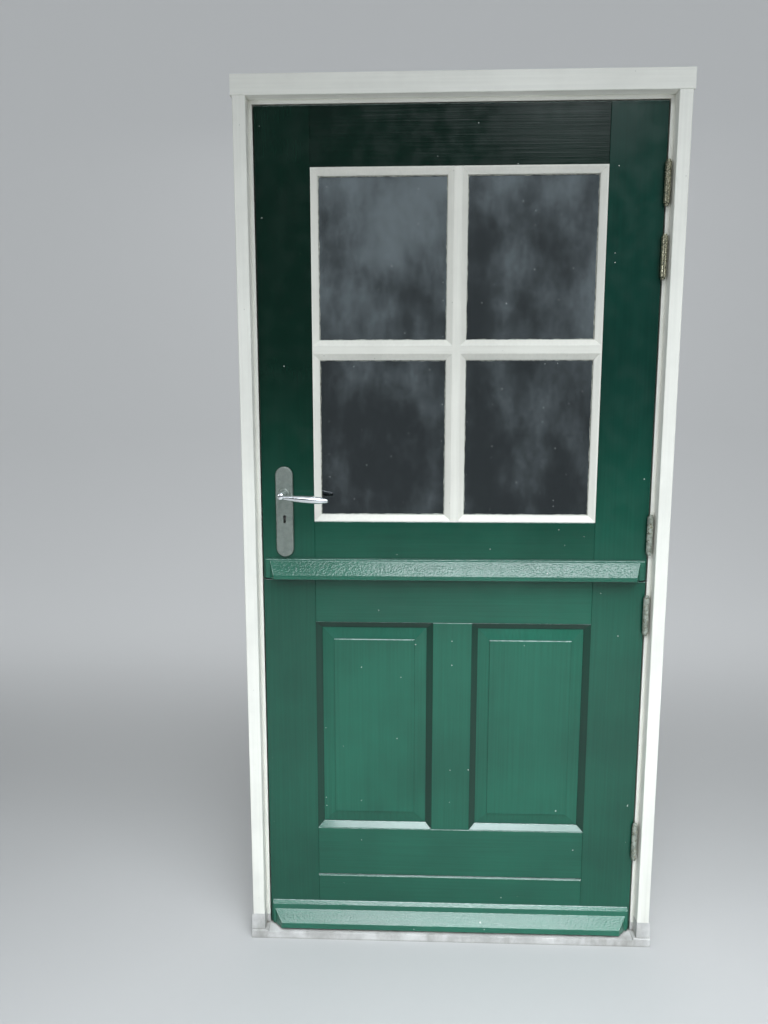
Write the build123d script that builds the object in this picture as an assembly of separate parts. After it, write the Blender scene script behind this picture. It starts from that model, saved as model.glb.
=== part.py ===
from build123d import *
import math
import os

# A Dutch stable door: a leaf cut in two halves, each hung on its own hinges in one rebated timber frame.
# The frame stands on a stone threshold, each jamb on a stone plinth block. The halves open outwards.
# The upper half is glazed in four panes and carries the lock. The lower half has two raised panels.
# Millimetres. +X is to the right seen from outside, +Y goes into the house, +Z is up.
# The origin is the centre of the threshold's underside. Names that start with X_, Y_ or Z_ are places.

os.makedirs("parts", exist_ok=True)

# Leaf, both halves together
LEAF_WIDTH = 930.0
LEAF_HEIGHT = 2015.0
LEAF_THICK = 40.0
LEAF_GAP = 3.0
MEETING_HEIGHT = 926.0
MEETING_GAP = 4.0
STILE_WIDTH = 127.0
EDGE_CHAMFER = 0.7

# Frame
FRAME_DEPTH = 114.0
REVEAL_DEPTH = 28.0
FACE_WIDTH = 30.0
HEAD_FACE = 45.0
SHOULDER_WIDTH = 9.0
STOP_WIDTH = 15.0
STOP_GAP = 3.0
FRAME_CHAMFER = 1.2
HEAD_PROUD = 4.0
HEAD_TENON_WIDTH = 16.0
HEAD_TENON_DEPTH = 60.0
HEAD_TENON_LENGTH = 25.0
FIXING_HOLE_R = 4.0
FIXING_PITCH = 500.0
LOWER_FIXING_HEIGHT = 125.0
UPPER_FIXING_DROP = 90.0

# Stone
STONE_PROUD = 4.0
BLOCK_WEATHERING = 2.4
THRESHOLD_THICK = 22.0
THRESHOLD_UPSTAND = 15.0
THRESHOLD_WASH = 4.0
THRESHOLD_ARRIS = 2.0
BLOCK_FRONT_HEIGHT = 43.0
BLOCK_REAR_HEIGHT = 23.0
DOWEL_R = 6.0
DOWEL_DEPTH = 32.0
DOWEL_BED = 14.0

# Draught seal
SEAL_WIDTH = 8.0
SEAL_INSET = 2.0
SEAL_CLEAR = 0.3

# Joinery
TENON_THICK = 12.0
TENON_LENGTH = 68.0
TENON_SHOULDER = 25.0
TENON_CLEAR = 0.2

# Window
TOP_RAIL_HEIGHT = 133.0
UPPER_BOTTOM_RAIL_HEIGHT = 140.0
GLASS_THICK = 4.0
GLASS_DEPTH = 14.0
GLASS_BED = 0.3
GLASS_EDGE_GAP = 1.5
GLASS_LIP = 12.0
BAR_WEB = 14.0
BAR_FLANGE = 32.0
BAR_INSET = 3.0
BEAD_WIDTH = 16.0
BEAD_FLAT = 2.5
BEAD_TOE = 4.0

# Lower half
LOWER_TOP_RAIL_HEIGHT = 108.0
PANEL_BOTTOM = 267.0
BOTTOM_BOARD_HEIGHT = 136.5
MUNTIN_WIDTH = 96.0
MUNTIN_TENON_WIDTH = 60.0
MUNTIN_TENON_LENGTH = 40.0
BOARD_TONGUE_HEIGHT = 10.0
V_GROOVE = 3.0
MOULDING_WIDTH = 15.0
MOULDING_DEPTH = 10.0
MOULDING_TOE = 1.0
PANEL_TONGUE_THICK = 10.0
PANEL_TONGUE_LENGTH = 9.0
PANEL_GROOVE_DEPTH = 10.0
PANEL_CLEAR = 0.1
PANEL_BEVEL_WIDTH = 30.0
PANEL_STEP = 2.0
PANEL_FIELD_DEPTH = 3.0

# Weather bars
BAR_PROJECTION = 28.0
BAR_BAND_PROUD = 6.0
BAR_BAND_SETBACK = 6.0
UPPER_BAR_HEIGHT = 48.5
UPPER_BAR_BAND = 4.0
UPPER_BAR_NOSE = 11.5
UPPER_BAR_TOP_FALL = 2.0
UPPER_BAR_SLOPE_SETBACK = 17.0
UPPER_BAR_NOSE_SETBACK = 29.0
LOWER_BAR_HEIGHT = 62.5
LOWER_BAR_BAND = 14.5
LOWER_BAR_NOSE = 15.0
LOWER_BAR_TOP_FALL = 8.0
LOWER_BAR_SLOPE_SETBACK = 12.0
LOWER_BAR_NOSE_SETBACK = 32.0
NOSE_ROUND = 2.0
DRIP_WIDTH = 5.0
DRIP_DEPTH = 3.0
DRIP_SETBACK = 6.0

# Hinges
HINGE_HEIGHT = 89.0
HINGE_PLATE_WIDTH = 36.0
HINGE_PLATE_THICK = 2.5
KNUCKLE_R = 7.0
MIDDLE_KNUCKLE = 52.0
KNUCKLE_GAP = 0.3
PIN_R = 4.0
PIN_CLEAR = 0.05
PIN_BUTTON_R = 5.0
PIN_BUTTON = 4.5
PIN_OFFSET = 8.0
GAIN_CLEAR = 0.2
TOP_HINGE_DROP = 176.5
SECOND_HINGE_DROP = 336.5
THIRD_HINGE_ABOVE_MEETING = 112.0
FOURTH_HINGE_BELOW_MEETING = 86.0
BOTTOM_HINGE_RISE = 249.0

# Lock
BACKSET = 55.0
SPINDLE_ABOVE_MEETING = 207.0
KEY_DROP = 56.0
CASE_ABOVE_SPINDLE = 38.0
CASE_BELOW_SPINDLE = 84.0
CASE_BEHIND_SPINDLE = 31.0
CASE_THICK = 15.0
CASE_WALL = 1.5
LOCK_CLEAR = 0.2
FOREND_THICK = 3.0
FOREND_WIDTH = 20.0
FOREND_HEIGHT = 200.0
LATCH_HEIGHT = 20.0
LATCH_LENGTH = 33.0
LATCH_THROW = 11.0
LATCH_BEVEL = 8.0
LATCH_BEVEL_FROM = 2.3
DEADBOLT_HEIGHT = 28.0
DEADBOLT_LENGTH = 38.0
DEADBOLT_THROW = 14.0
BOLT_REST = 0.5
STRIKE_THICK = 2.5
STRIKE_WINDOW_CLEAR = 1.5
STRIKE_POCKET_CLEAR = 3.0
FOLLOWER_R = 11.0
FOLLOWER_HUB_R = 8.0
RUN_CLEAR = 0.05
SPINDLE_SIDE = 8.0
SPINDLE_CLEAR = 0.1
SPINDLE_HOLE_R = 10.0
KEYHOLE_R = 4.2
KEYHOLE_SLOT = 5.6
KEYHOLE_HEIGHT = 19.0
KEY_MORTISE_WIDTH = 14.0
KEY_MORTISE_MARGIN = 4.0

# Handles
PLATE_HEIGHT = 220.0
PLATE_WIDTH = 42.0
PLATE_THICK = 6.0
PLATE_BEVEL = 1.6
PLATE_CENTRE_DROP = 44.0
PLATE_SCREW_PITCH = 182.0
PLATE_SCREW_R = 2.5
PLATE_SCREW_HEAD_R = 4.6
PLATE_SCREW_HEAD = 2.4
PLATE_SCREW_TAP = 3.6
PLATE_SCREW_REACH = 3.0
COLLAR_R = 14.0
COLLAR_HEIGHT = 5.0
COLLAR_BEVEL = 1.8
NECK_R = 8.5
NECK_OVER_BAR = 4.0
NECK_BEVEL = 2.5
LEVER_STANDOFF = 50.0
LEVER_LENGTH = 112.0
LEVER_ROOT_R = 4.5
LEVER_SHOULDER_R = 6.9
LEVER_SHOULDER_AT = 25.0
LEVER_BELLY_R = 9.6
LEVER_BELLY_AT = 70.0
LEVER_TAPER_R = 7.9
LEVER_TAPER_AT = 93.0
LEVER_TIP_R = 5.0
LEVER_SIDE_STEPS = 5
LEVER_TIP_STEPS = 2
LEVER_DROOP = 4.0
LEVER_BELOW_NECK = 3.5
SOCKET_DEPTH = 18.0

# Inside bolts
ROD_R = 5.0
ROD_BEVEL = 1.2
ROD_STANDOFF = 11.5
ROD_REST = 3.0
BOLT_BASE_THICK = 2.5
BOLT_BASE_WIDTH = 34.0
BOLT_BASE_LENGTH = 90.0
GUIDE_LENGTH = 12.0
GUIDE_WIDTH = 20.0
GUIDE_COVER = 4.0
GUIDE_MARGIN = 8.0
KNOB_R = 4.5
KNOB_BEVEL = 1.5
KNOB_LENGTH = 17.0
KNOB_CLEAR = 6.0
COUPLING_BOLT_INSET = 165.0
LOWER_BOLT_HEIGHT = 520.0
LOWER_BOLT_THROW = 20.0
LOWER_BOLT_SETBACK = 20.0
KEEPER_THICK = 2.0
KEEPER_WIDTH = 26.0
KEEPER_HEIGHT = 60.0
KEEPER_HOLE_CLEAR = 0.6
KEEPER_BORE_CLEAR = 5.0
LOOP_PLATE_HEIGHT = 36.0
LOOP_HEIGHT = 16.5
LOOP_SETBACK = 4.0
OVERCUT = 1.0

# Places worked out from the sizes above
X_LEAF = LEAF_WIDTH / 2
X_REBATE = X_LEAF + LEAF_GAP
X_REVEAL = X_REBATE + SHOULDER_WIDTH
X_OUTER = X_REVEAL + FACE_WIDTH
X_STOP = X_REBATE - STOP_WIDTH
X_STILE = X_LEAF - STILE_WIDTH
X_LIP = X_STILE - GLASS_LIP
X_STONE = X_OUTER + STONE_PROUD
X_PIN = X_LEAF + LEAF_GAP / 2
X_SPINDLE = BACKSET - X_LEAF
X_DOWEL = (X_REBATE + X_OUTER) / 2
X_COUPLING_BOLT = COUPLING_BOLT_INSET - X_LEAF
Y_OUT = -FRAME_DEPTH / 2
Y_IN = FRAME_DEPTH / 2
Y_FACE = Y_OUT + REVEAL_DEPTH
Y_BACK = Y_FACE + LEAF_THICK
Y_STOP = Y_BACK + STOP_GAP
Y_MID = (Y_FACE + Y_BACK) / 2
Y_PIN = Y_FACE - PIN_OFFSET
Y_GLASS = Y_FACE + GLASS_DEPTH
Y_LIP = Y_GLASS + GLASS_THICK + GLASS_BED
Y_TONGUE = Y_FACE + MOULDING_DEPTH
Y_ROD = Y_BACK + ROD_STANDOFF
Z_LEAF = THRESHOLD_THICK + LEAF_GAP
Z_TOP = Z_LEAF + LEAF_HEIGHT
Z_UPPER = Z_LEAF + MEETING_HEIGHT
Z_LOWER = Z_UPPER - MEETING_GAP
Z_REBATE = Z_TOP + LEAF_GAP
Z_REVEAL = Z_REBATE + SHOULDER_WIDTH
Z_HEAD = Z_REVEAL + HEAD_FACE
Z_STOP = Z_REBATE - STOP_WIDTH
Z_BLOCK_FRONT = THRESHOLD_THICK + BLOCK_FRONT_HEIGHT
Z_BLOCK_REAR = THRESHOLD_THICK + BLOCK_REAR_HEIGHT
Z_WINDOW_BOTTOM = Z_UPPER + UPPER_BOTTOM_RAIL_HEIGHT
Z_WINDOW_TOP = Z_TOP - TOP_RAIL_HEIGHT
Z_BAR = (Z_WINDOW_BOTTOM + Z_WINDOW_TOP) / 2
Z_PANEL_TOP = Z_LOWER - LOWER_TOP_RAIL_HEIGHT
Z_PANEL_BOTTOM = Z_LEAF + PANEL_BOTTOM
Z_BOARD = Z_LEAF + BOTTOM_BOARD_HEIGHT
Z_SPINDLE = Z_UPPER + SPINDLE_ABOVE_MEETING
Z_KEY = Z_SPINDLE - KEY_DROP
Z_PLATE = Z_SPINDLE - PLATE_CENTRE_DROP
Z_LOWER_BOLT = Z_LEAF + LOWER_BOLT_HEIGHT
UPPER_HINGES = (Z_TOP - TOP_HINGE_DROP, Z_TOP - SECOND_HINGE_DROP, Z_UPPER + THIRD_HINGE_ABOVE_MEETING)
LOWER_HINGES = (Z_UPPER - FOURTH_HINGE_BELOW_MEETING, Z_LEAF + BOTTOM_HINGE_RISE)


def block(x0, x1, y0, y1, z0, z1):
    """Box between two corners."""
    centre = Pos((x0 + x1) / 2, (y0 + y1) / 2, (z0 + z1) / 2)
    return centre * Box(abs(x1 - x0), abs(y1 - y0), abs(z1 - z0))


def prism(plane, section, length):
    """Prism from a section on a plane, along the plane's normal."""
    return extrude(plane * section, length, dir=plane.z_dir)


def upright(points, z0, z1):
    """Prism that stands on an outline in plan."""
    return prism(Plane.XY.offset(z0), Polygon(*points, align=None), z1 - z0)


def lengthwise(points, x0, x1):
    """Prism along X with an outline given as (y, z)."""
    section = Plane(origin=(x0, 0, 0), x_dir=(0, 1, 0), z_dir=(1, 0, 0))
    return prism(section, Polygon(*points, align=None), x1 - x0)


def rod(start, direction, radius, length):
    """Cylinder from a point along a direction."""
    return prism(Plane(origin=start, z_dir=direction), Circle(radius), length)


def flip(shape):
    """The same shape on the other side of the door's centre line."""
    return mirror(shape, about=Plane.YZ)


def eased(board):
    """Takes the sharp arris off the edges of a board's outer face."""
    face = board.faces().filter_by(Axis.Y).sort_by(Axis.Y)[0]
    return chamfer(face.edges(), EDGE_CHAMFER)


def write(name, *solids):
    """One file for one node, of one solid or of a group of separate ones."""
    shape = solids[0] if len(solids) == 1 else Compound(children=list(solids))
    export_step(shape, f"parts/{name}.step")


def jamb_outline(proud=0.0):
    """Plan of the right jamb with its rebate and stop. Its block stands proud at the side."""
    return [
        (X_STOP, Y_STOP),
        (X_REBATE, Y_STOP),
        (X_REBATE, Y_FACE),
        (X_REVEAL, Y_FACE),
        (X_REVEAL, Y_OUT),
        (X_OUTER + proud, Y_OUT),
        (X_OUTER + proud, Y_IN),
        (X_STOP, Y_IN),
    ]


def head_tenon(clear=0.0):
    """Stub tenon on top of the right jamb. With a clearance, the mortise for it."""
    x = (X_REVEAL + X_OUTER) / 2
    half_width = HEAD_TENON_WIDTH / 2 + clear
    half_depth = HEAD_TENON_DEPTH / 2 + clear
    return block(x - half_width, x + half_width, -half_depth, half_depth,
                 Z_REVEAL, Z_REVEAL + HEAD_TENON_LENGTH + clear)


def fixing_holes():
    """Four holes through the right jamb for the screws that hold the frame in the wall."""
    lowest = Z_LEAF + LOWER_FIXING_HEIGHT
    highest = Z_TOP - UPPER_FIXING_DROP
    heights = (lowest, lowest + FIXING_PITCH, highest - FIXING_PITCH, highest)
    length = X_OUTER - X_STOP + OVERCUT
    return [rod((X_STOP, Y_MID, z), (1, 0, 0), FIXING_HOLE_R, length) for z in heights]


def plain_jamb():
    """Right jamb, without what is let into it for hinges or locks."""
    body = upright(jamb_outline(), Z_BLOCK_REAR, Z_REVEAL)
    body -= block(X_REVEAL, X_OUTER, Y_OUT, Y_FACE, Z_BLOCK_REAR, Z_BLOCK_FRONT)
    long_edges = body.edges().filter_by(Axis.Z)
    outer_face = long_edges.group_by(Axis.Y)[0]
    body = chamfer(outer_face, FRAME_CHAMFER)
    body += head_tenon()
    body -= dowel(TENON_CLEAR)
    return body - fixing_holes()


def frame_head():
    """The head runs over both jambs. Its shoulder and stop fit between them."""
    end = X_OUTER + HEAD_PROUD
    beam = block(-end, end, Y_OUT, Y_IN, Z_REVEAL, Z_HEAD)
    beam = chamfer(beam.edges().filter_by(Axis.X).group_by(Axis.Y)[0], FRAME_CHAMFER)
    beam += block(-X_REBATE, X_REBATE, Y_FACE, Y_STOP, Z_REBATE, Z_REVEAL)
    beam += block(-X_STOP, X_STOP, Y_STOP, Y_IN, Z_STOP, Z_REVEAL)
    return beam - head_tenon(TENON_CLEAR) - flip(head_tenon(TENON_CLEAR))


def dowel(clear=0.0):
    """Steel dowel through the right plinth block. With a clearance, the hole for it."""
    bottom = THRESHOLD_THICK - DOWEL_BED
    length = DOWEL_BED + BLOCK_REAR_HEIGHT + DOWEL_DEPTH + clear
    return rod((X_DOWEL, (Y_STOP + Y_IN) / 2, bottom), (0, 0, 1), DOWEL_R + clear, length)


def plinth_block():
    """Stone block under the right jamb: a higher step in front, weathered on its proud edge."""
    rear = upright(jamb_outline(STONE_PROUD), THRESHOLD_THICK, Z_BLOCK_REAR)
    front = block(X_REVEAL, X_STONE, Y_OUT, Y_FACE, Z_BLOCK_REAR, Z_BLOCK_FRONT)
    proud_edge = front.faces().sort_by(Axis.Z)[-1].edges().sort_by(Axis.X)[-1]
    front = chamfer(proud_edge, BLOCK_WEATHERING)
    return rear + front - dowel(TENON_CLEAR)


def threshold():
    """Stone slab with a wash in front and an upstand behind the leaf."""
    front = Y_OUT - STONE_PROUD
    back = Y_IN + STONE_PROUD
    slab = block(-X_STONE, X_STONE, front, back, 0, THRESHOLD_THICK)
    slab = chamfer(slab.edges().filter_by(Axis.X).group_by(Axis.Y)[0].sort_by(Axis.Z)[-1], THRESHOLD_ARRIS)
    wash = [(front, THRESHOLD_THICK), (Y_FACE, THRESHOLD_THICK), (front, THRESHOLD_THICK - THRESHOLD_WASH)]
    slab -= lengthwise(wash, -X_REBATE, X_REBATE)
    upstand_top = THRESHOLD_THICK + THRESHOLD_UPSTAND
    slab += block(-X_STOP, X_STOP, Y_STOP, back, THRESHOLD_THICK, upstand_top)
    return slab - dowel(TENON_CLEAR) - flip(dowel(TENON_CLEAR))


def draught_seal():
    """Rubber strip on the stop, up one jamb, along the head and down the other."""
    outer = X_STOP + SEAL_INSET + SEAL_WIDTH
    inner = X_STOP + SEAL_INSET
    top = Z_STOP + SEAL_INSET + SEAL_WIDTH
    front = Y_BACK + SEAL_CLEAR
    strip = block(-outer, outer, front, Y_STOP, Z_BLOCK_FRONT, top)
    return strip - block(-inner, inner, front, Y_STOP, Z_BLOCK_FRONT, top - SEAL_WIDTH)


def tenons(x_shoulder, z0, z1, clear=0.0):
    """Stub tenons on both ends of a rail. With a clearance, the mortises for them."""
    low = z0 + TENON_SHOULDER - clear
    high = z1 - TENON_SHOULDER + clear
    half = TENON_THICK / 2 + clear
    end = x_shoulder + TENON_LENGTH + clear
    right = block(x_shoulder, end, Y_MID - half, Y_MID + half, low, high)
    return right, flip(right)


def rail(z0, z1):
    """Rail between the two stiles, with its tenons."""
    board = eased(block(-X_STILE, X_STILE, Y_FACE, Y_BACK, z0, z1))
    return board + list(tenons(X_STILE, z0, z1))


def stile(z0, z1, rails):
    """Right stile, mortised for the rails whose lower and upper edges are given."""
    board = eased(block(X_STILE, X_LEAF, Y_FACE, Y_BACK, z0, z1))
    for low, high in rails:
        board -= tenons(X_STILE, low, high, TENON_CLEAR)[0]
    return board


UPPER_RAILS = ((Z_UPPER, Z_WINDOW_BOTTOM), (Z_WINDOW_TOP, Z_TOP))
LOWER_RAILS = ((Z_LEAF, Z_BOARD), (Z_BOARD, Z_PANEL_BOTTOM), (Z_PANEL_TOP, Z_LOWER))


def upper_stile():
    """Right stile of the upper half, with the lip that the glass lies against."""
    board = stile(Z_UPPER, Z_TOP, UPPER_RAILS)
    return board + block(X_LIP, X_STILE, Y_LIP, Y_BACK, Z_WINDOW_BOTTOM, Z_WINDOW_TOP)


def window_rail(z0, z1, lip_from, lip_to):
    """Rail of the upper half with its glass lip."""
    return rail(z0, z1) + block(-X_LIP, X_LIP, Y_LIP, Y_BACK, lip_from, lip_to)


def glazing_bar_vertical():
    """Upright glazing bar: a web that shows between the beads and a flange behind the glass."""
    web = block(-BAR_WEB / 2, BAR_WEB / 2, Y_FACE, Y_LIP, Z_WINDOW_BOTTOM, Z_WINDOW_TOP)
    flange = block(-BAR_FLANGE / 2, BAR_FLANGE / 2, Y_LIP, Y_BACK - BAR_INSET,
                   Z_WINDOW_BOTTOM + GLASS_LIP, Z_WINDOW_TOP - GLASS_LIP)
    return web + flange


def glazing_bar_right():
    """Level glazing bar from the upright bar to the right stile."""
    web = block(BAR_WEB / 2, X_STILE, Y_FACE, Y_LIP, Z_BAR - BAR_WEB / 2, Z_BAR + BAR_WEB / 2)
    flange = block(BAR_FLANGE / 2, X_LIP, Y_LIP, Y_BACK - BAR_INSET,
                   Z_BAR - BAR_FLANGE / 2, Z_BAR + BAR_FLANGE / 2)
    return web + flange


def lights():
    """The four openings for glass: name, left, right, lower and upper edge."""
    columns = (("left", -X_STILE, -BAR_WEB / 2), ("right", BAR_WEB / 2, X_STILE))
    rows = (("lower", Z_WINDOW_BOTTOM, Z_BAR - BAR_WEB / 2), ("upper", Z_BAR + BAR_WEB / 2, Z_WINDOW_TOP))
    return [(f"{row}_{column}", x0, x1, z0, z1) for row, z0, z1 in rows for column, x0, x1 in columns]


def pane(x0, x1, z0, z1):
    """Glass of one opening."""
    gap = GLASS_EDGE_GAP
    return block(x0 + gap, x1 - gap, Y_GLASS, Y_GLASS + GLASS_THICK, z0 + gap, z1 - gap)


def bead_section():
    """Splayed glazing bead, as (distance from the opening's edge, y)."""
    back = Y_GLASS - GLASS_BED
    return Polygon((0, Y_FACE), (0, back), (BEAD_WIDTH, back), (BEAD_WIDTH, back - BEAD_TOE),
                   (BEAD_FLAT, Y_FACE), align=None)


def moulding_section():
    """Splayed panel moulding, as (distance from the opening's edge, y)."""
    toe = Y_TONGUE - MOULDING_TOE
    return Polygon((0, Y_FACE), (0, Y_TONGUE), (MOULDING_WIDTH, Y_TONGUE), (MOULDING_WIDTH, toe), align=None)


def mitred_frame(x0, x1, z0, z1, section, width):
    """Four lengths of one section, mitred at the corners of an opening."""
    centre = ((x0 + x1) / 2, (z0 + z1) / 2)
    runs = (
        (Plane(origin=(x1, 0, z0), x_dir=(0, 0, 1), z_dir=(-1, 0, 0)), x1 - x0, (x0, z0), (x1, z0)),
        (Plane(origin=(x0, 0, z1), x_dir=(0, 0, -1), z_dir=(1, 0, 0)), x1 - x0, (x1, z1), (x0, z1)),
        (Plane(origin=(x0, 0, z0), x_dir=(1, 0, 0), z_dir=(0, 0, 1)), z1 - z0, (x0, z1), (x0, z0)),
        (Plane(origin=(x1, 0, z1), x_dir=(-1, 0, 0), z_dir=(0, 0, -1)), z1 - z0, (x1, z0), (x1, z1)),
    )
    lengths = []
    for plane, length, start, end in runs:
        bar = prism(plane, section, length)
        corners = [start, end]
        for x, z in (end, start):
            step_x = width if x < centre[0] else -width
            step_z = width if z < centre[1] else -width
            corners.append((x + step_x, z + step_z))
        mitre = extrude(Plane.XZ * Polygon(*corners, align=None), FRAME_DEPTH, both=True)
        lengths.append(bar & mitre)
    return lengths


def panels():
    """The two openings for panels: name, left, right, lower and upper edge."""
    half = MUNTIN_WIDTH / 2
    return [("left", -X_STILE, -half, Z_PANEL_BOTTOM, Z_PANEL_TOP),
            ("right", half, X_STILE, Z_PANEL_BOTTOM, Z_PANEL_TOP)]


def panel_slab(x0, x1, z0, z1, reach, clear=0.0):
    """The thin edge of a panel, which lies in the grooves. With a clearance, the grooves."""
    return block(x0 - reach, x1 + reach, Y_TONGUE - clear, Y_TONGUE + PANEL_TONGUE_THICK + clear,
                 z0 - reach, z1 + reach)


def grooves():
    """What the panels take out of the boards round them."""
    return [panel_slab(x0, x1, z0, z1, PANEL_GROOVE_DEPTH, PANEL_CLEAR) for _, x0, x1, z0, z1 in panels()]


def raised_panel(x0, x1, z0, z1):
    """Panel with a bevelled margin, a small step and a flat field."""
    margin = MOULDING_WIDTH
    field = margin + PANEL_BEVEL_WIDTH
    y_field = Y_FACE + PANEL_FIELD_DEPTH
    y_step = y_field + PANEL_STEP

    def outline(inset, y):
        centre = ((x0 + x1) / 2, y, (z0 + z1) / 2)
        plane = Plane(origin=centre, x_dir=(1, 0, 0), z_dir=(0, -1, 0))
        return plane * Rectangle(x1 - x0 - 2 * inset, z1 - z0 - 2 * inset)

    bevel = loft([outline(margin, Y_TONGUE), outline(field, y_step)])
    raised = block(x0 + field, x1 - field, y_field, Y_TONGUE, z0 + field, z1 - field)
    return panel_slab(x0, x1, z0, z1, PANEL_TONGUE_LENGTH) + bevel + raised


def lower_stile():
    """Right stile of the lower half, grooved for the panel."""
    return stile(Z_LEAF, Z_LOWER, LOWER_RAILS) - grooves()


def muntin_tenon(z_from, z_to, clear=0.0):
    """Tenon on one end of the muntin. With a clearance, its mortise."""
    half_width = MUNTIN_TENON_WIDTH / 2 + clear
    half = TENON_THICK / 2 + clear
    return block(-half_width, half_width, Y_MID - half, Y_MID + half, z_from, z_to)


def lower_muntin():
    """Upright between the two panels."""
    board = eased(block(-MUNTIN_WIDTH / 2, MUNTIN_WIDTH / 2, Y_FACE, Y_BACK, Z_PANEL_BOTTOM, Z_PANEL_TOP))
    board += muntin_tenon(Z_PANEL_TOP, Z_PANEL_TOP + MUNTIN_TENON_LENGTH)
    board += muntin_tenon(Z_PANEL_BOTTOM - MUNTIN_TENON_LENGTH, Z_PANEL_BOTTOM)
    return board - grooves()


def lower_top_rail():
    """Rail along the meeting edge of the lower half."""
    mortise = muntin_tenon(Z_PANEL_TOP, Z_PANEL_TOP + MUNTIN_TENON_LENGTH + TENON_CLEAR, TENON_CLEAR)
    return rail(Z_PANEL_TOP, Z_LOWER) - grooves() - mortise


def board_tongue(clear=0.0):
    """Tongue under the upper bottom board. With a clearance, the groove for it."""
    half = TENON_THICK / 2 + clear
    foot = Z_BOARD - BOARD_TONGUE_HEIGHT - clear
    return block(-X_STILE, X_STILE, Y_MID - half, Y_MID + half, foot, Z_BOARD)


def v_groove():
    """V-shaped line along the joint between the two bottom boards."""
    outline = [(Y_FACE, Z_BOARD - V_GROOVE), (Y_FACE + V_GROOVE, Z_BOARD), (Y_FACE, Z_BOARD + V_GROOVE)]
    return lengthwise(outline, -X_STILE, X_STILE)


def lower_mid_rail():
    """Upper of the two bottom boards."""
    mortise = muntin_tenon(Z_PANEL_BOTTOM - MUNTIN_TENON_LENGTH - TENON_CLEAR, Z_PANEL_BOTTOM, TENON_CLEAR)
    return rail(Z_BOARD, Z_PANEL_BOTTOM) + board_tongue() - v_groove() - grooves() - mortise


def lower_bottom_rail():
    """Lower of the two bottom boards."""
    return rail(Z_LEAF, Z_BOARD) - board_tongue(TENON_CLEAR) - v_groove()


def weather_bar(z0, height, band, nose, top_fall, slope_setback, nose_setback):
    """Sloped bar that throws the rain off a leaf's lower edge, with a drip groove and splayed ends."""
    front = Y_FACE - BAR_PROJECTION
    band_face = Y_FACE - BAR_BAND_PROUD
    band_top = z0 + height - top_fall
    drip = front + DRIP_SETBACK
    outline = [
        (Y_FACE, z0),
        (Y_FACE, z0 + height),
        (band_face, band_top),
        (band_face, band_top - band),
        (front, z0 + nose),
        (front, z0),
        (drip, z0),
        (drip, z0 + DRIP_DEPTH),
        (drip + DRIP_WIDTH, z0 + DRIP_DEPTH),
        (drip + DRIP_WIDTH, z0),
    ]
    band_x = X_LEAF - BAR_BAND_SETBACK
    slope_x = X_LEAF - slope_setback
    nose_x = X_LEAF - nose_setback
    bar = lengthwise(outline, -band_x, band_x)
    nose_edges = bar.edges().filter_by(Axis.X).group_by(Axis.Y)[0]
    bar = fillet(nose_edges, NOSE_ROUND)
    end = [(band_x, Y_FACE), (band_x, band_face), (slope_x, band_face), (nose_x, front)]
    plan = end + [(-x, y) for x, y in reversed(end)]
    return bar & upright(plan, z0, z0 + height)


def knuckle(z0, z1):
    """Barrel of a hinge leaf round the pin."""
    return rod((X_PIN, Y_PIN, z0), (0, 0, 1), KNUCKLE_R, z1 - z0)


def knuckle_bore(z):
    """Bore of a hinge's barrel."""
    return rod((X_PIN, Y_PIN, z - HINGE_HEIGHT), (0, 0, 1), PIN_R + PIN_CLEAR, 2 * HINGE_HEIGHT)


def hinge_plate(x0, x1, z, clear=0.0):
    """Plate of a hinge leaf. With a clearance, the gain that it is let into."""
    half = HINGE_HEIGHT / 2 + clear
    return block(x0, x1, Y_FACE, Y_FACE + HINGE_PLATE_WIDTH + clear, z - half, z + half)


def hinge_frame_leaf(z):
    """Leaf on the jamb, with the middle knuckle."""
    half = MIDDLE_KNUCKLE / 2
    x0 = X_REBATE
    x1 = X_REBATE + HINGE_PLATE_THICK
    wrap = block(x0, x1, Y_PIN, Y_FACE, z - half, z + half)
    return hinge_plate(x0, x1, z) + wrap + knuckle(z - half, z + half) - knuckle_bore(z)


def hinge_door_leaf(z):
    """Leaf on the door's edge, with the two end knuckles."""
    x0 = X_LEAF - HINGE_PLATE_THICK
    x1 = X_LEAF
    leaf = hinge_plate(x0, x1, z)
    inner = MIDDLE_KNUCKLE / 2 + KNUCKLE_GAP
    outer = HINGE_HEIGHT / 2
    for z0, z1 in ((z - outer, z - inner), (z + inner, z + outer)):
        leaf += knuckle(z0, z1)
        leaf += block(x0, x1, Y_PIN, Y_FACE, z0, z1)
    return leaf - knuckle_bore(z)


def hinge_pin(z):
    """Pin with a button on each end."""
    half = HINGE_HEIGHT / 2 + KNUCKLE_GAP
    pin = rod((X_PIN, Y_PIN, z - half), (0, 0, 1), PIN_R, 2 * half)
    upper = rod((X_PIN, Y_PIN, z + half), (0, 0, 1), PIN_BUTTON_R, PIN_BUTTON)
    lower = rod((X_PIN, Y_PIN, z - half - PIN_BUTTON), (0, 0, 1), PIN_BUTTON_R, PIN_BUTTON)
    return pin + upper + lower


def frame_gains(heights):
    """What the hinges take out of the jamb."""
    x1 = X_REBATE + HINGE_PLATE_THICK
    return [hinge_plate(X_REBATE, x1, z, GAIN_CLEAR) for z in heights]


def door_gains(heights):
    """What the hinges take out of a leaf's edge."""
    x0 = X_LEAF - HINGE_PLATE_THICK
    return [hinge_plate(x0, X_LEAF, z, GAIN_CLEAR) for z in heights]


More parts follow.
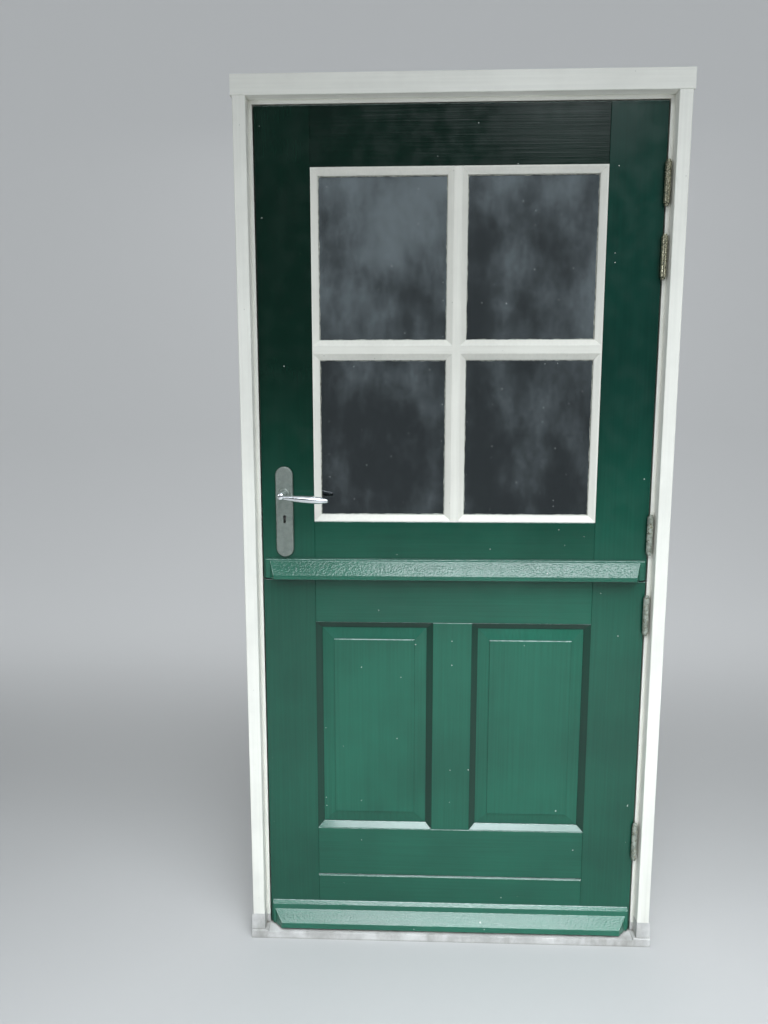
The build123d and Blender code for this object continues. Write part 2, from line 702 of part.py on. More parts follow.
def case_box(grow):
    """The lock case's outside, grown by a clearance or shrunk by a wall."""
    half = CASE_THICK / 2 + grow
    return block(-X_LEAF + FOREND_THICK, X_SPINDLE + CASE_BEHIND_SPINDLE + grow, Y_MID - half, Y_MID + half,
                 Z_SPINDLE - CASE_BELOW_SPINDLE - grow, Z_SPINDLE + CASE_ABOVE_SPINDLE + grow)


def bolt_section(height, z, grow):
    """Section of the latch or deadbolt, as half thickness, lower and upper edge."""
    half = CASE_THICK / 2 - CASE_WALL - LOCK_CLEAR + grow
    return half, z - height / 2 - grow, z + height / 2 + grow


def bolt_block(height, z, x0, x1, grow=0.0):
    """A bolt's bar, or with a clearance a way for it."""
    half, low, high = bolt_section(height, z, grow)
    return block(x0, x1, Y_MID - half, Y_MID + half, low, high)


def keyhole(y0, y1):
    """Round hole with a slot under it, from front to back."""
    barrel = rod((X_SPINDLE, y0, Z_KEY), (0, 1, 0), KEYHOLE_R, y1 - y0)
    foot = Z_KEY + KEYHOLE_R - KEYHOLE_HEIGHT
    half = KEYHOLE_SLOT / 2
    return barrel + block(X_SPINDLE - half, X_SPINDLE + half, y0, y1, foot, Z_KEY)


def key_mortise():
    """Roomier way for the key through the stile, behind the plates' keyholes."""
    half = KEY_MORTISE_WIDTH / 2
    top = Z_KEY + KEYHOLE_R + KEY_MORTISE_MARGIN
    foot = Z_KEY + KEYHOLE_R - KEYHOLE_HEIGHT - KEY_MORTISE_MARGIN
    return block(X_SPINDLE - half, X_SPINDLE + half, Y_FACE, Y_BACK, foot, top)


def spindle_hole(radius, y0, y1):
    """Round hole on the spindle's axis."""
    return rod((X_SPINDLE, y0, Z_SPINDLE), (0, 1, 0), radius, y1 - y0)


def lock_case():
    """Case of the mortise lock, hollow, open at its front edge where the forend closes it."""
    case = case_box(0) - case_box(-CASE_WALL)
    inside = X_SPINDLE + CASE_BEHIND_SPINDLE - CASE_WALL
    half = CASE_THICK / 2 - CASE_WALL
    case -= block(-X_LEAF + FOREND_THICK, inside, Y_MID - half, Y_MID + half,
                  Z_SPINDLE - CASE_BELOW_SPINDLE + CASE_WALL, Z_SPINDLE + CASE_ABOVE_SPINDLE - CASE_WALL)
    case -= spindle_hole(FOLLOWER_HUB_R + RUN_CLEAR, Y_FACE, Y_BACK)
    return case - keyhole(Y_FACE, Y_BACK)


def forend_plate(x0, x1, grow=0.0):
    """Plate on a lock's edge, centred on the case. With a clearance, its recess."""
    half = FOREND_WIDTH / 2 + grow
    middle = Z_SPINDLE + (CASE_ABOVE_SPINDLE - CASE_BELOW_SPINDLE) / 2
    half_height = FOREND_HEIGHT / 2 + grow
    return block(x0, x1, Y_MID - half, Y_MID + half, middle - half_height, middle + half_height)


def lock_forend():
    """Plate that closes the case and guides the latch and the deadbolt."""
    x0 = -X_LEAF
    x1 = -X_LEAF + FOREND_THICK
    plate = forend_plate(x0, x1)
    plate -= bolt_block(LATCH_HEIGHT, Z_SPINDLE, x0, x1, LOCK_CLEAR)
    return plate - bolt_block(DEADBOLT_HEIGHT, Z_KEY, x0, x1, LOCK_CLEAR)


def latch_bolt():
    """Latch, drawn back, with a bevelled nose."""
    x0 = -X_LEAF + BOLT_REST
    bar = bolt_block(LATCH_HEIGHT, Z_SPINDLE, x0, x0 + LATCH_LENGTH)
    half = bolt_section(LATCH_HEIGHT, Z_SPINDLE, 0)[0]
    nose = [(x0, Y_MID + half), (x0, Y_MID - LATCH_BEVEL_FROM), (x0 + LATCH_BEVEL, Y_MID + half)]
    return bar - upright(nose, Z_SPINDLE - LATCH_HEIGHT, Z_SPINDLE + LATCH_HEIGHT)


def deadbolt():
    """Deadbolt, drawn back."""
    x0 = -X_LEAF + BOLT_REST
    return bolt_block(DEADBOLT_HEIGHT, Z_KEY, x0, x0 + DEADBOLT_LENGTH)


def spindle_bar(y0, y1, clear=0.0):
    """Square bar on the spindle's axis, turned with the lever."""
    side = SPINDLE_SIDE + 2 * clear
    plane = Plane(origin=(X_SPINDLE, y0, Z_SPINDLE), x_dir=(1, 0, 0), z_dir=(0, 1, 0))
    return prism(plane, Rectangle(side, side), y1 - y0)


def lever_y():
    """Where the outer lever's bar lies."""
    return Y_FACE - LEVER_STANDOFF


def socket_end():
    """Where the spindle ends inside the outer lever's neck."""
    return Y_FACE - PLATE_THICK - COLLAR_HEIGHT - SOCKET_DEPTH


def inward(shape):
    """The same shape on the inner side of the leaf."""
    return mirror(shape, about=Plane.XZ.offset(-Y_MID))


def spindle():
    """Square spindle through the lock, held in both levers."""
    start = socket_end()
    return spindle_bar(start, 2 * Y_MID - start)


def lock_follower():
    """The follower turns on its hub in the case and has the spindle's square hole."""
    half = CASE_THICK / 2
    inner = half - CASE_WALL - LOCK_CLEAR
    hub = spindle_hole(FOLLOWER_HUB_R, Y_MID - half, Y_MID + half)
    wheel = spindle_hole(FOLLOWER_R, Y_MID - inner, Y_MID + inner)
    return hub + wheel - spindle_bar(Y_FACE, Y_BACK, SPINDLE_CLEAR)


def strike_plate():
    """Plate let into the left jamb, with a window for each bolt."""
    x0 = -X_REBATE - STRIKE_THICK
    x1 = -X_REBATE
    plate = forend_plate(x0, x1)
    plate -= bolt_block(LATCH_HEIGHT, Z_SPINDLE, x0, x1, STRIKE_WINDOW_CLEAR)
    return plate - bolt_block(DEADBOLT_HEIGHT, Z_KEY, x0, x1, STRIKE_WINDOW_CLEAR)


def strike_pockets():
    """What the strike plate and both bolts take out of the left jamb."""
    plate = forend_plate(-X_REBATE - STRIKE_THICK, -X_REBATE, GAIN_CLEAR)
    latch_end = -X_LEAF - LATCH_THROW - STRIKE_POCKET_CLEAR
    bolt_end = -X_LEAF - DEADBOLT_THROW - STRIKE_POCKET_CLEAR
    latch = bolt_block(LATCH_HEIGHT, Z_SPINDLE, latch_end, -X_REBATE, STRIKE_WINDOW_CLEAR)
    bolt = bolt_block(DEADBOLT_HEIGHT, Z_KEY, bolt_end, -X_REBATE, STRIKE_WINDOW_CLEAR)
    return [plate, latch, bolt]


def plate_screw_heights():
    """The two heights of the screws that draw the backplates together."""
    return [Z_PLATE - PLATE_SCREW_PITCH / 2, Z_PLATE + PLATE_SCREW_PITCH / 2]


def backplate():
    """Outer long plate with full-round ends, a bevelled edge and a raised collar."""
    outline = SlotOverall(PLATE_HEIGHT, PLATE_WIDTH, rotation=90)
    plane = Plane(origin=(X_SPINDLE, Y_FACE, Z_PLATE), x_dir=(1, 0, 0), z_dir=(0, -1, 0))
    plate = prism(plane, outline, PLATE_THICK)
    plate = chamfer(plate.faces().sort_by(Axis.Y)[0].edges(), PLATE_BEVEL)
    collar = spindle_hole(COLLAR_R, Y_FACE - PLATE_THICK - COLLAR_HEIGHT, Y_FACE - PLATE_THICK)
    collar = chamfer(collar.edges().sort_by(Axis.Y)[0], COLLAR_BEVEL)
    plate += collar
    plate -= spindle_hole(NECK_R + RUN_CLEAR, Y_FACE - PLATE_THICK - COLLAR_HEIGHT, Y_FACE)
    return plate - keyhole(Y_FACE - PLATE_THICK, Y_FACE)


def backplate_outside():
    """Outer plate, tapped from behind for the two screws."""
    start = Y_FACE - PLATE_SCREW_TAP
    holes = [rod((X_SPINDLE, start, z), (0, 1, 0), PLATE_SCREW_R + RUN_CLEAR, PLATE_SCREW_TAP)
             for z in plate_screw_heights()]
    return backplate() - holes


def backplate_screw(z, clear=0.0):
    """Countersunk screw from the inner plate into the outer one. With a clearance, its hole."""
    tip = Y_FACE - PLATE_SCREW_REACH
    head_face = Y_BACK + PLATE_THICK
    shank = rod((X_SPINDLE, tip, z), (0, 1, 0), PLATE_SCREW_R + clear, head_face - tip)
    cone = Cone(PLATE_SCREW_R + clear, PLATE_SCREW_HEAD_R + clear, PLATE_SCREW_HEAD)
    centre = Plane(origin=(X_SPINDLE, head_face - PLATE_SCREW_HEAD / 2, z), z_dir=(0, 1, 0))
    return shank + centre * cone


def backplate_inside():
    """Inner plate, countersunk for the two screws."""
    return inward(backplate()) - [backplate_screw(z, RUN_CLEAR) for z in plate_screw_heights()]


def lock_stile_cuts():
    """What the lock and the handles take out of the lock stile."""
    cuts = [
        case_box(LOCK_CLEAR),
        forend_plate(-X_LEAF, -X_LEAF + FOREND_THICK, LOCK_CLEAR),
        spindle_hole(SPINDLE_HOLE_R, Y_FACE, Y_BACK),
        key_mortise(),
    ]
    for z in plate_screw_heights():
        cuts.append(rod((X_SPINDLE, Y_FACE, z), (0, 1, 0), PLATE_SCREW_R + TENON_CLEAR, LEAF_THICK))
    return cuts


def stepped(curve, steps):
    """Points along a curve at even steps, without its start."""
    return [curve @ (step / steps) for step in range(1, steps + 1)]


def lever_bar():
    """Bar of a lever, turned in short cones: thin at the neck, swelling, then tapering to a round tip."""
    tip_start = LEVER_LENGTH - LEVER_TIP_R
    slant = LEVER_TIP_R * math.sqrt(0.5)
    root = (0, LEVER_ROOT_R)
    shoulder = (LEVER_SHOULDER_AT, LEVER_SHOULDER_R)
    belly = (LEVER_BELLY_AT, LEVER_BELLY_R)
    taper = (LEVER_TAPER_AT, LEVER_TAPER_R)
    end = (tip_start, LEVER_TIP_R)
    side = Spline(root, shoulder, belly, taper, end)
    tip = ThreePointArc(end, (tip_start + slant, slant), (LEVER_LENGTH, 0))
    outline = [(0, 0), root, *stepped(side, LEVER_SIDE_STEPS), *stepped(tip, LEVER_TIP_STEPS)]
    return revolve(make_face(Polyline(*outline, close=True)), Axis.X, 360)


def lever():
    """Outer lever: a round neck in the backplate's collar and a bar that points to the hinges."""
    y_bar = lever_y()
    front = y_bar - LEVER_ROOT_R - NECK_OVER_BAR
    neck = spindle_hole(NECK_R, front, Y_FACE - RUN_CLEAR)
    neck = chamfer(neck.edges().sort_by(Axis.Y)[0], NECK_BEVEL)
    bar = Pos(X_SPINDLE, y_bar, Z_SPINDLE - LEVER_BELOW_NECK) * Rot(0, LEVER_DROOP, 0) * lever_bar()
    return neck + bar - spindle_bar(socket_end() - RUN_CLEAR, Y_FACE, SPINDLE_CLEAR)


def barrel_bolt_base():
    """Base with two bored guides, its bolt along +Z and its back on the plane y = 0."""
    on_back = (Align.CENTER, Align.MIN, Align.MIN)
    body = Box(BOLT_BASE_WIDTH, BOLT_BASE_THICK, BOLT_BASE_LENGTH, align=on_back)
    guide = Box(GUIDE_WIDTH, ROD_STANDOFF + ROD_R + GUIDE_COVER, GUIDE_LENGTH, align=on_back)
    for z in (GUIDE_MARGIN, BOLT_BASE_LENGTH - GUIDE_MARGIN - GUIDE_LENGTH):
        body += Pos(0, 0, z) * guide
    bore_length = BOLT_BASE_LENGTH + 2 * OVERCUT
    return body - rod((0, ROD_STANDOFF, -OVERCUT), (0, 0, 1), ROD_R + RUN_CLEAR, bore_length)


def barrel_bolt_rod(overhang):
    """Round bolt with a knob, drawn back, its foot below the base by the overhang."""
    bar = rod((0, ROD_STANDOFF, -overhang), (0, 0, 1), ROD_R, BOLT_BASE_LENGTH + overhang)
    bar = chamfer(bar.edges().sort_by(Axis.Z)[0], ROD_BEVEL)
    knob_z = BOLT_BASE_LENGTH - GUIDE_MARGIN - GUIDE_LENGTH - KNOB_R - KNOB_CLEAR
    knob = rod((0, ROD_STANDOFF, knob_z), (0, 1, 0), KNOB_R, ROD_R + KNOB_LENGTH)
    knob = chamfer(knob.edges().sort_by(Axis.Y)[-1], KNOB_BEVEL)
    return bar + knob


def on_upper_leaf(shape):
    """Stands a barrel bolt on the inner face of the upper half, above its lower edge."""
    return Pos(X_COUPLING_BOLT, Y_BACK, Z_UPPER + GUIDE_MARGIN) * shape


def on_lower_leaf(shape):
    """Lays a barrel bolt on the lower half's lock stile, its bolt pointing at the jamb."""
    return Pos(-X_LEAF + LOWER_BOLT_SETBACK, Y_BACK, Z_LOWER_BOLT) * Rot(0, 90, 0) * shape


def coupling_bolt_keeper():
    """Bored block on the lower half that takes the coupling bolt's foot."""
    reach = ROD_STANDOFF + ROD_R + GUIDE_COVER
    top = Z_LOWER - LOOP_SETBACK
    half = BOLT_BASE_WIDTH / 2
    half_loop = GUIDE_WIDTH / 2
    x = X_COUPLING_BOLT
    plate = block(x - half, x + half, Y_BACK, Y_BACK + BOLT_BASE_THICK, top - LOOP_PLATE_HEIGHT, top)
    loop = block(x - half_loop, x + half_loop, Y_BACK, Y_BACK + reach, top - LOOP_HEIGHT, top)
    hole = rod((x, Y_ROD, top - LOOP_PLATE_HEIGHT), (0, 0, 1), ROD_R + KEEPER_HOLE_CLEAR, LOOP_PLATE_HEIGHT)
    return plate + loop - hole


def keeper_plate(clear=0.0):
    """Plate on the left stop. With a clearance, its recess."""
    half = KEEPER_HEIGHT / 2 + clear
    return block(-X_STOP - KEEPER_THICK, -X_STOP, Y_STOP - clear, Y_STOP + KEEPER_WIDTH + clear,
                 Z_LOWER_BOLT - half, Z_LOWER_BOLT + half)


def keeper_bore(length):
    """Bore in the left stop for the lower bolt."""
    return rod((-X_STOP, Y_ROD, Z_LOWER_BOLT), (-1, 0, 0), ROD_R + KEEPER_HOLE_CLEAR, length)


def write_frame():
    """Timber, stone, seal and the fittings that stay on the frame."""
    jamb = plain_jamb()
    right = jamb - frame_gains(UPPER_HINGES) - frame_gains(LOWER_HINGES)
    left = flip(jamb) - strike_pockets() - keeper_plate(GAIN_CLEAR)
    left -= keeper_bore(LOWER_BOLT_THROW + KEEPER_BORE_CLEAR)
    write("frame_head", frame_head())
    write("frame_jamb_left", left)
    write("frame_jamb_right", right)
    write("plinth_block_left", flip(plinth_block()))
    write("plinth_block_right", plinth_block())
    write("threshold", threshold())
    write("frame_dowels", dowel(), flip(dowel()))
    write("draught_seal", draught_seal())
    write("strike_plate", strike_plate())
    write("lower_bolt_keeper", keeper_plate() - keeper_bore(KEEPER_THICK))
    write("upper_hinge_frame_leaves", *[hinge_frame_leaf(z) for z in UPPER_HINGES])
    write("lower_hinge_frame_leaves", *[hinge_frame_leaf(z) for z in LOWER_HINGES])
    write("hinge_pins", *[hinge_pin(z) for z in UPPER_HINGES + LOWER_HINGES])


def write_upper_leaf():
    """The glazed half."""
    side = upper_stile()
    write("upper_stile_hinge", side - door_gains(UPPER_HINGES))
    write("upper_stile_lock", flip(side) - lock_stile_cuts())
    write("upper_top_rail", window_rail(Z_WINDOW_TOP, Z_TOP, Z_WINDOW_TOP - GLASS_LIP, Z_WINDOW_TOP))
    lip_top = Z_WINDOW_BOTTOM + GLASS_LIP
    write("upper_bottom_rail", window_rail(Z_UPPER, Z_WINDOW_BOTTOM, Z_WINDOW_BOTTOM, lip_top))
    write("glazing_bar_vertical", glazing_bar_vertical())
    write("glazing_bar_right", glazing_bar_right())
    write("glazing_bar_left", flip(glazing_bar_right()))
    for name, x0, x1, z0, z1 in lights():
        write(f"pane_{name}", pane(x0, x1, z0, z1))
        write(f"glazing_beads_{name}", *mitred_frame(x0, x1, z0, z1, bead_section(), BEAD_WIDTH))
    bar = weather_bar(Z_UPPER, UPPER_BAR_HEIGHT, UPPER_BAR_BAND, UPPER_BAR_NOSE, UPPER_BAR_TOP_FALL,
                      UPPER_BAR_SLOPE_SETBACK, UPPER_BAR_NOSE_SETBACK)
    write("upper_weather_bar", bar)
    write("upper_hinge_door_leaves", *[hinge_door_leaf(z) for z in UPPER_HINGES])


def write_lower_leaf():
    """The panelled half."""
    side = lower_stile()
    write("lower_stile_hinge", side - door_gains(LOWER_HINGES))
    write("lower_stile_lock", flip(side))
    write("lower_top_rail", lower_top_rail())
    write("lower_muntin", lower_muntin())
    write("lower_mid_rail", lower_mid_rail())
    write("lower_bottom_rail", lower_bottom_rail())
    for name, x0, x1, z0, z1 in panels():
        write(f"panel_{name}", raised_panel(x0, x1, z0, z1))
        write(f"panel_moulding_{name}", *mitred_frame(x0, x1, z0, z1, moulding_section(), MOULDING_WIDTH))
    bar = weather_bar(Z_LEAF, LOWER_BAR_HEIGHT, LOWER_BAR_BAND, LOWER_BAR_NOSE, LOWER_BAR_TOP_FALL,
                      LOWER_BAR_SLOPE_SETBACK, LOWER_BAR_NOSE_SETBACK)
    write("lower_weather_bar", bar)
    write("lower_hinge_door_leaves", *[hinge_door_leaf(z) for z in LOWER_HINGES])


def write_lock():
    """Mortise lock, levers and backplates."""
    write("lock_case", lock_case())
    write("lock_forend", lock_forend())
    write("latch_bolt", latch_bolt())
    write("deadbolt", deadbolt())
    write("lock_follower", lock_follower())
    write("spindle", spindle())
    write("lever_outside", lever())
    write("lever_inside", inward(lever()))
    write("backplate_outside", backplate_outside())
    write("backplate_inside", backplate_inside())
    write("backplate_screws", *[backplate_screw(z) for z in plate_screw_heights()])


def write_inside_bolts():
    """The bolt that couples the halves and the bolt that locks the lower one."""
    write("coupling_bolt_base", on_upper_leaf(barrel_bolt_base()))
    write("coupling_bolt_rod", on_upper_leaf(barrel_bolt_rod(ROD_REST)))
    write("coupling_bolt_keeper", coupling_bolt_keeper())
    write("lower_bolt_base", on_lower_leaf(barrel_bolt_base()))
    write("lower_bolt_rod", on_lower_leaf(barrel_bolt_rod(ROD_REST)))


write_frame()
write_upper_leaf()
write_lower_leaf()
write_lock()
write_inside_bolts()
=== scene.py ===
import math
import random

import bmesh
import bpy
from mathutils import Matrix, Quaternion, Vector, noise


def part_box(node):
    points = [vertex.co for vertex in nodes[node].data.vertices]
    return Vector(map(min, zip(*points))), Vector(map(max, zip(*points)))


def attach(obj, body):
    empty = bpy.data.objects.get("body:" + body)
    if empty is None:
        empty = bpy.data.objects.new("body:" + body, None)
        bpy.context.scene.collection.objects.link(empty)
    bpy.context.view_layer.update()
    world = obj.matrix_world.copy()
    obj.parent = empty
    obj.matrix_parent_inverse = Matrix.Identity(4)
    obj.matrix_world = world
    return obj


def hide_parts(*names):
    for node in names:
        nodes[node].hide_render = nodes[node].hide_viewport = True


# A Dutch stable door in its frame: green gloss paint on the two leaves, cream paint on the frame and the
# beads, grey stone below, satin and polished metal for the furniture. Everything is in metres, in the frame
# of the solids.

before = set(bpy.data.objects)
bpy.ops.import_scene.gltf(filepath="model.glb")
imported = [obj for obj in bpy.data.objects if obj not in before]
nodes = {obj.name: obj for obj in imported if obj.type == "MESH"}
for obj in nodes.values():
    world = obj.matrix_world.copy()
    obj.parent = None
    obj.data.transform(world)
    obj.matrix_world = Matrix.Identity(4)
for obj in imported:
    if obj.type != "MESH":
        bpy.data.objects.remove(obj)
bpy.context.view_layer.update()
scene = bpy.context.scene

SEED = 7
chance = random.Random(SEED)

# Window: inner edges of the stiles and rails, bars between the panes, beads on them, faces of the glass
STILE_EDGE = 0.338
WINDOW_FOOT = 1.091
WINDOW_TOP = 1.907
BAR_MIDDLE = 1.499
BAR_HALF = 0.016
BAR_CORE_HALF = 0.007
BEAD_WIDTH = 0.016
GLASS_LIP = 0.012
GLASS_OUT = -0.015
GLASS_IN = -0.011

# Line of sealant: step along it, reach on the glass and lift on the bead, with how far each wavers
SEALANT_STEP = 0.006
SEALANT_REACH = 0.0019
REACH_WAVER = 0.0013
REACH_FLICKER = 0.0008
SEALANT_LIFT = 0.0011
LIFT_WAVER = 0.0004
SEALANT_PITCH = 60
SEALANT_SHIFT = 900
FLICKER_FINER = 4.1
LIFT_FINER = 2.3
SEALANT_SECTION = ((0.55, 0.6), (1.0, 0.0))

# Lever: its spindle, the bar's plane, fall and droop, the neck's start, and the middle of the door leaf
SPINDLE_X = -0.410
SPINDLE_Z = 1.158
LEVER_Y = -0.079
LEVER_BELOW = 0.0035
LEVER_DROOP = math.radians(4)
LEVER_SIDES = 48
NECK_BACK = -0.0295
LEAF_MIDDLE = -0.009

# Distance and radius: along the neck from its back, then along the bar from the neck's axis
NECK_PROFILE = (
    (0, 0), (0, 0.0084), (0.018, 0.0084), (0.0186, 0.0078), (0.0200, 0.0078), (0.0206, 0.0084),
    (0.034, 0.0080), (0.046, 0.0080), (0.0545, 0.0084), (0.0572, 0.0077), (0.0585, 0.0058), (0.0589, 0),
)
BAR_KNOTS = ((0, 0.0045), (0.025, 0.0068), (0.050, 0.0090), (0.070, 0.0095), (0.088, 0.0084), (0.107, 0.0050))
BAR_START = -0.002
BAR_START_RADIUS = 0.0043
BAR_TIP_LENGTH = 0.0049
BAR_STEPS = 8

# Ways in which screw heads face
LEFTWARDS = (-1, 0, 0)
RIGHTWARDS = (1, 0, 0)
INWARDS = (0, 1, 0)

# Slotted screw head: shares of its radius, and heights
SCREW_SIDES = 20
SLOT_STEPS = 10
SLOT_HALF_SHARE = 0.13
DISC_SHARE = 0.97
DISC_HEIGHT = 0.00012
DOME_LAYERS = ((0.97, 0.0), (0.95, 0.00025), (0.72, 0.00055))

# Screws of the hinges: radius, faces of the hinge leaves, heights, and each hinge's depths and rises
HINGE_HEAD = 0.0038
DOOR_LEAF_X = 0.465
FRAME_LEAF_X = 0.468
UPPER_HINGES = (1.8635, 1.7035, 1.063)
LOWER_HINGES = (0.865, 0.274)
HINGE_STAGGER = ((-0.006, -0.030), (-0.019, 0.0), (-0.006, 0.030))

# Screws of the lock, the strike plate, the bolts and their keepers
FOREND_HEAD = 0.0038
FOREND_FACE_X = -0.465
FOREND_HEIGHTS = (1.044, 1.226)
STRIKE_HEAD = 0.0036
STRIKE_INSET = 0.009
BOLT_HEAD = 0.0026
BOLT_BASE_FACE_Y = 0.0135
COUPLING_X = -0.300
COUPLING_BASE_HALF = 0.0135
COUPLING_BASE_HEIGHTS = (0.985, 1.023)
COUPLING_KEEPER_HALF = 0.0125
COUPLING_KEEPER_Z = 0.915
LOWER_BOLT_X = -0.400
LOWER_BOLT_Z = 0.545
LOWER_BASE_HALF = 0.019
LOWER_BASE_RISE = 0.0135
KEEPER_HEAD = 0.0030
LOWER_KEEPER_FACE_X = -0.453
LOWER_KEEPER_Y = 0.027
LOWER_KEEPER_RISE = 0.022

# Camera, worked out from the photograph's straight edges
PHOTO_HEIGHT = 1024
FOCAL_PIXELS = 740
SENSOR = 36.0
NEAR_CLIP = 0.05
CAMERA_PLACE = (-0.1075, -1.8008, 1.3632)
CAMERA_PITCH = math.radians(7.979)
CAMERA_YAW = math.radians(1.988)

# Paper sweep: how far it reaches, its bend up behind the door, and where it starts to glow and to pale
FLOOR_FRONT = -7.0
FLOOR_BACK = 3.2
FLOOR_SIDE = 8.0
SWEEP_TOP = 6.0
SWEEP_BEND = 1.2
SWEEP_STEPS = 12
PAPER_PALES = (-2.0, -0.8)
PAPER_GLOWS = (0.5, 2.6)
PAPER_GLOW = 0.3

# Surround: heights of view between which it brightens, its strengths there, and the tints of the light
SKY_RISE = (0.25, 0.9)
SKY_STRENGTHS = (0.09, 0.6)
LAMP_TINT = (0.90, 0.955, 1.0)
WHITE = (1, 1, 1)

# Colours of the paints, linear
GREEN_LOW = (0.009, 0.090, 0.056, 1)
# Green at the top of the door: deeper paint and painted shade
GREEN_HIGH_DEEP_AND_SHADED = (0.0022, 0.019, 0.0115, 1)
# Top colour of the hinge stile, lighter than the other tops: painted light on that side
GREEN_HIGH_LIT = (0.0042, 0.037, 0.026, 1)
# Pale wear and painted highlight on edges that face up
GREEN_WEAR_AND_HIGHLIGHT = (0.68, 0.84, 0.80, 1)
# Dust and painted sky reflection on faces that lean up
GREEN_DUST_AND_SKY_SHEEN = (0.16, 0.27, 0.24, 1)
CREAM = (0.79, 0.78, 0.71, 1)
CREAM_FRAME = (0.825, 0.82, 0.755, 1)
# Grime low down, and grime and painted shade in corners
CREAM_GRIME_AND_SHADE = (0.46, 0.45, 0.36, 1)
WHITE_SPECK = (0.74, 0.76, 0.72, 1)
DARK_SPECK = (0.07, 0.08, 0.06, 1)
# Dirt and painted shade in grooves and recesses
GROOVE_DIRT_AND_SHADE = (0.004, 0.010, 0.007, 1)

# Colours of the stone, the glass, the rubber, the sealant and the paper
STONE_PALE = (0.66, 0.655, 0.64, 1)
STONE_DARK = (0.44, 0.435, 0.42, 1)
# Stains, and stain and painted shade in hollows
STONE_STAIN_AND_SHADE = (0.22, 0.21, 0.185, 1)
GLASS_DARK = (0.06, 0.072, 0.077, 1)
GLASS_BLOOM = (0.25, 0.295, 0.317, 1)
GLASS_DUST = (0.55, 0.56, 0.54, 1)
RUBBER_BLACK = (0.018, 0.018, 0.017, 1)
RUBBER_BLOOM = (0.07, 0.07, 0.065, 1)
PUTTY_PALE = (0.42, 0.43, 0.38, 1)
PUTTY_DIRTY = (0.14, 0.145, 0.12, 1)
PAPER_FRONT = (0.36, 0.36, 0.355, 1)
PAPER_BACK = (0.47, 0.47, 0.465, 1)
PAPER_CLOUD = (0.50, 0.50, 0.495, 1)
PAPER_GLOW_TINT = (0.93, 0.97, 1.0, 1)

# Colours of the metals, bright and dull, of the old paint on them, and of the dirt and painted shade in their
# hollows
METAL_EDGE = (0.82, 0.84, 0.82, 1)
METAL_DIRT_AND_SHADE = (0.03, 0.03, 0.026, 1)
PLATE_COLOURS = ((0.35, 0.39, 0.36, 1), (0.245, 0.285, 0.255, 1))
LEVER_COLOURS = ((0.88, 0.90, 0.92, 1), (0.72, 0.75, 0.77, 1))
LOCK_COLOURS = ((0.62, 0.62, 0.60, 1), (0.42, 0.42, 0.40, 1))
BOLT_COLOURS = ((0.60, 0.61, 0.61, 1), (0.40, 0.41, 0.41, 1))
BRASS_BRIGHT = (0.60, 0.57, 0.42, 1)
BRASS_DULL = (0.20, 0.19, 0.12, 1)
OLD_PAINT_DARK = (0.16, 0.18, 0.15, 1)
OLD_PAINT_PALE = (0.34, 0.37, 0.32, 1)
OLD_PAINT_TOP = (0.02, 0.035, 0.022, 1)
HINGE_DIRT_AND_SHADE = (0.012, 0.015, 0.010, 1)

# Directions in which a brush or a grain runs
ALONG_X = (0.02, 1, 1)
ALONG_Z = (1, 1, 0.02)

# Stretches that most cloudy noise and most fine streaks keep to
CLOUDS = (0.3, 0.7)
STREAKS = (0.25, 0.75)

# Share of open sky from the open to a groove, and how well a rounded normal and a flat one agree on an edge
GROOVE_SKY = (0.78, 0.3)
EDGE_AGREEMENT = (0.998, 0.88)

# Specks: how far forward a face has to look, from none to full, and how soft a dot's rim is
SPECK_FACING = (0.35, 0.5)
SPECK_RIM = (0.0, 0.01)

# Green paint: its gloss, the heights between which it darkens to its top colour with deeper paint and painted
# shade, and the whole of its relief
GREEN_IOR = 1.46
RIPPLE_IOR = 0.16
GREEN_DEEPENS_AND_SHADES = (0.78, 1.48)
GREEN_RELIEF = 0.00009
RIPPLE_RELIEF = 10.0


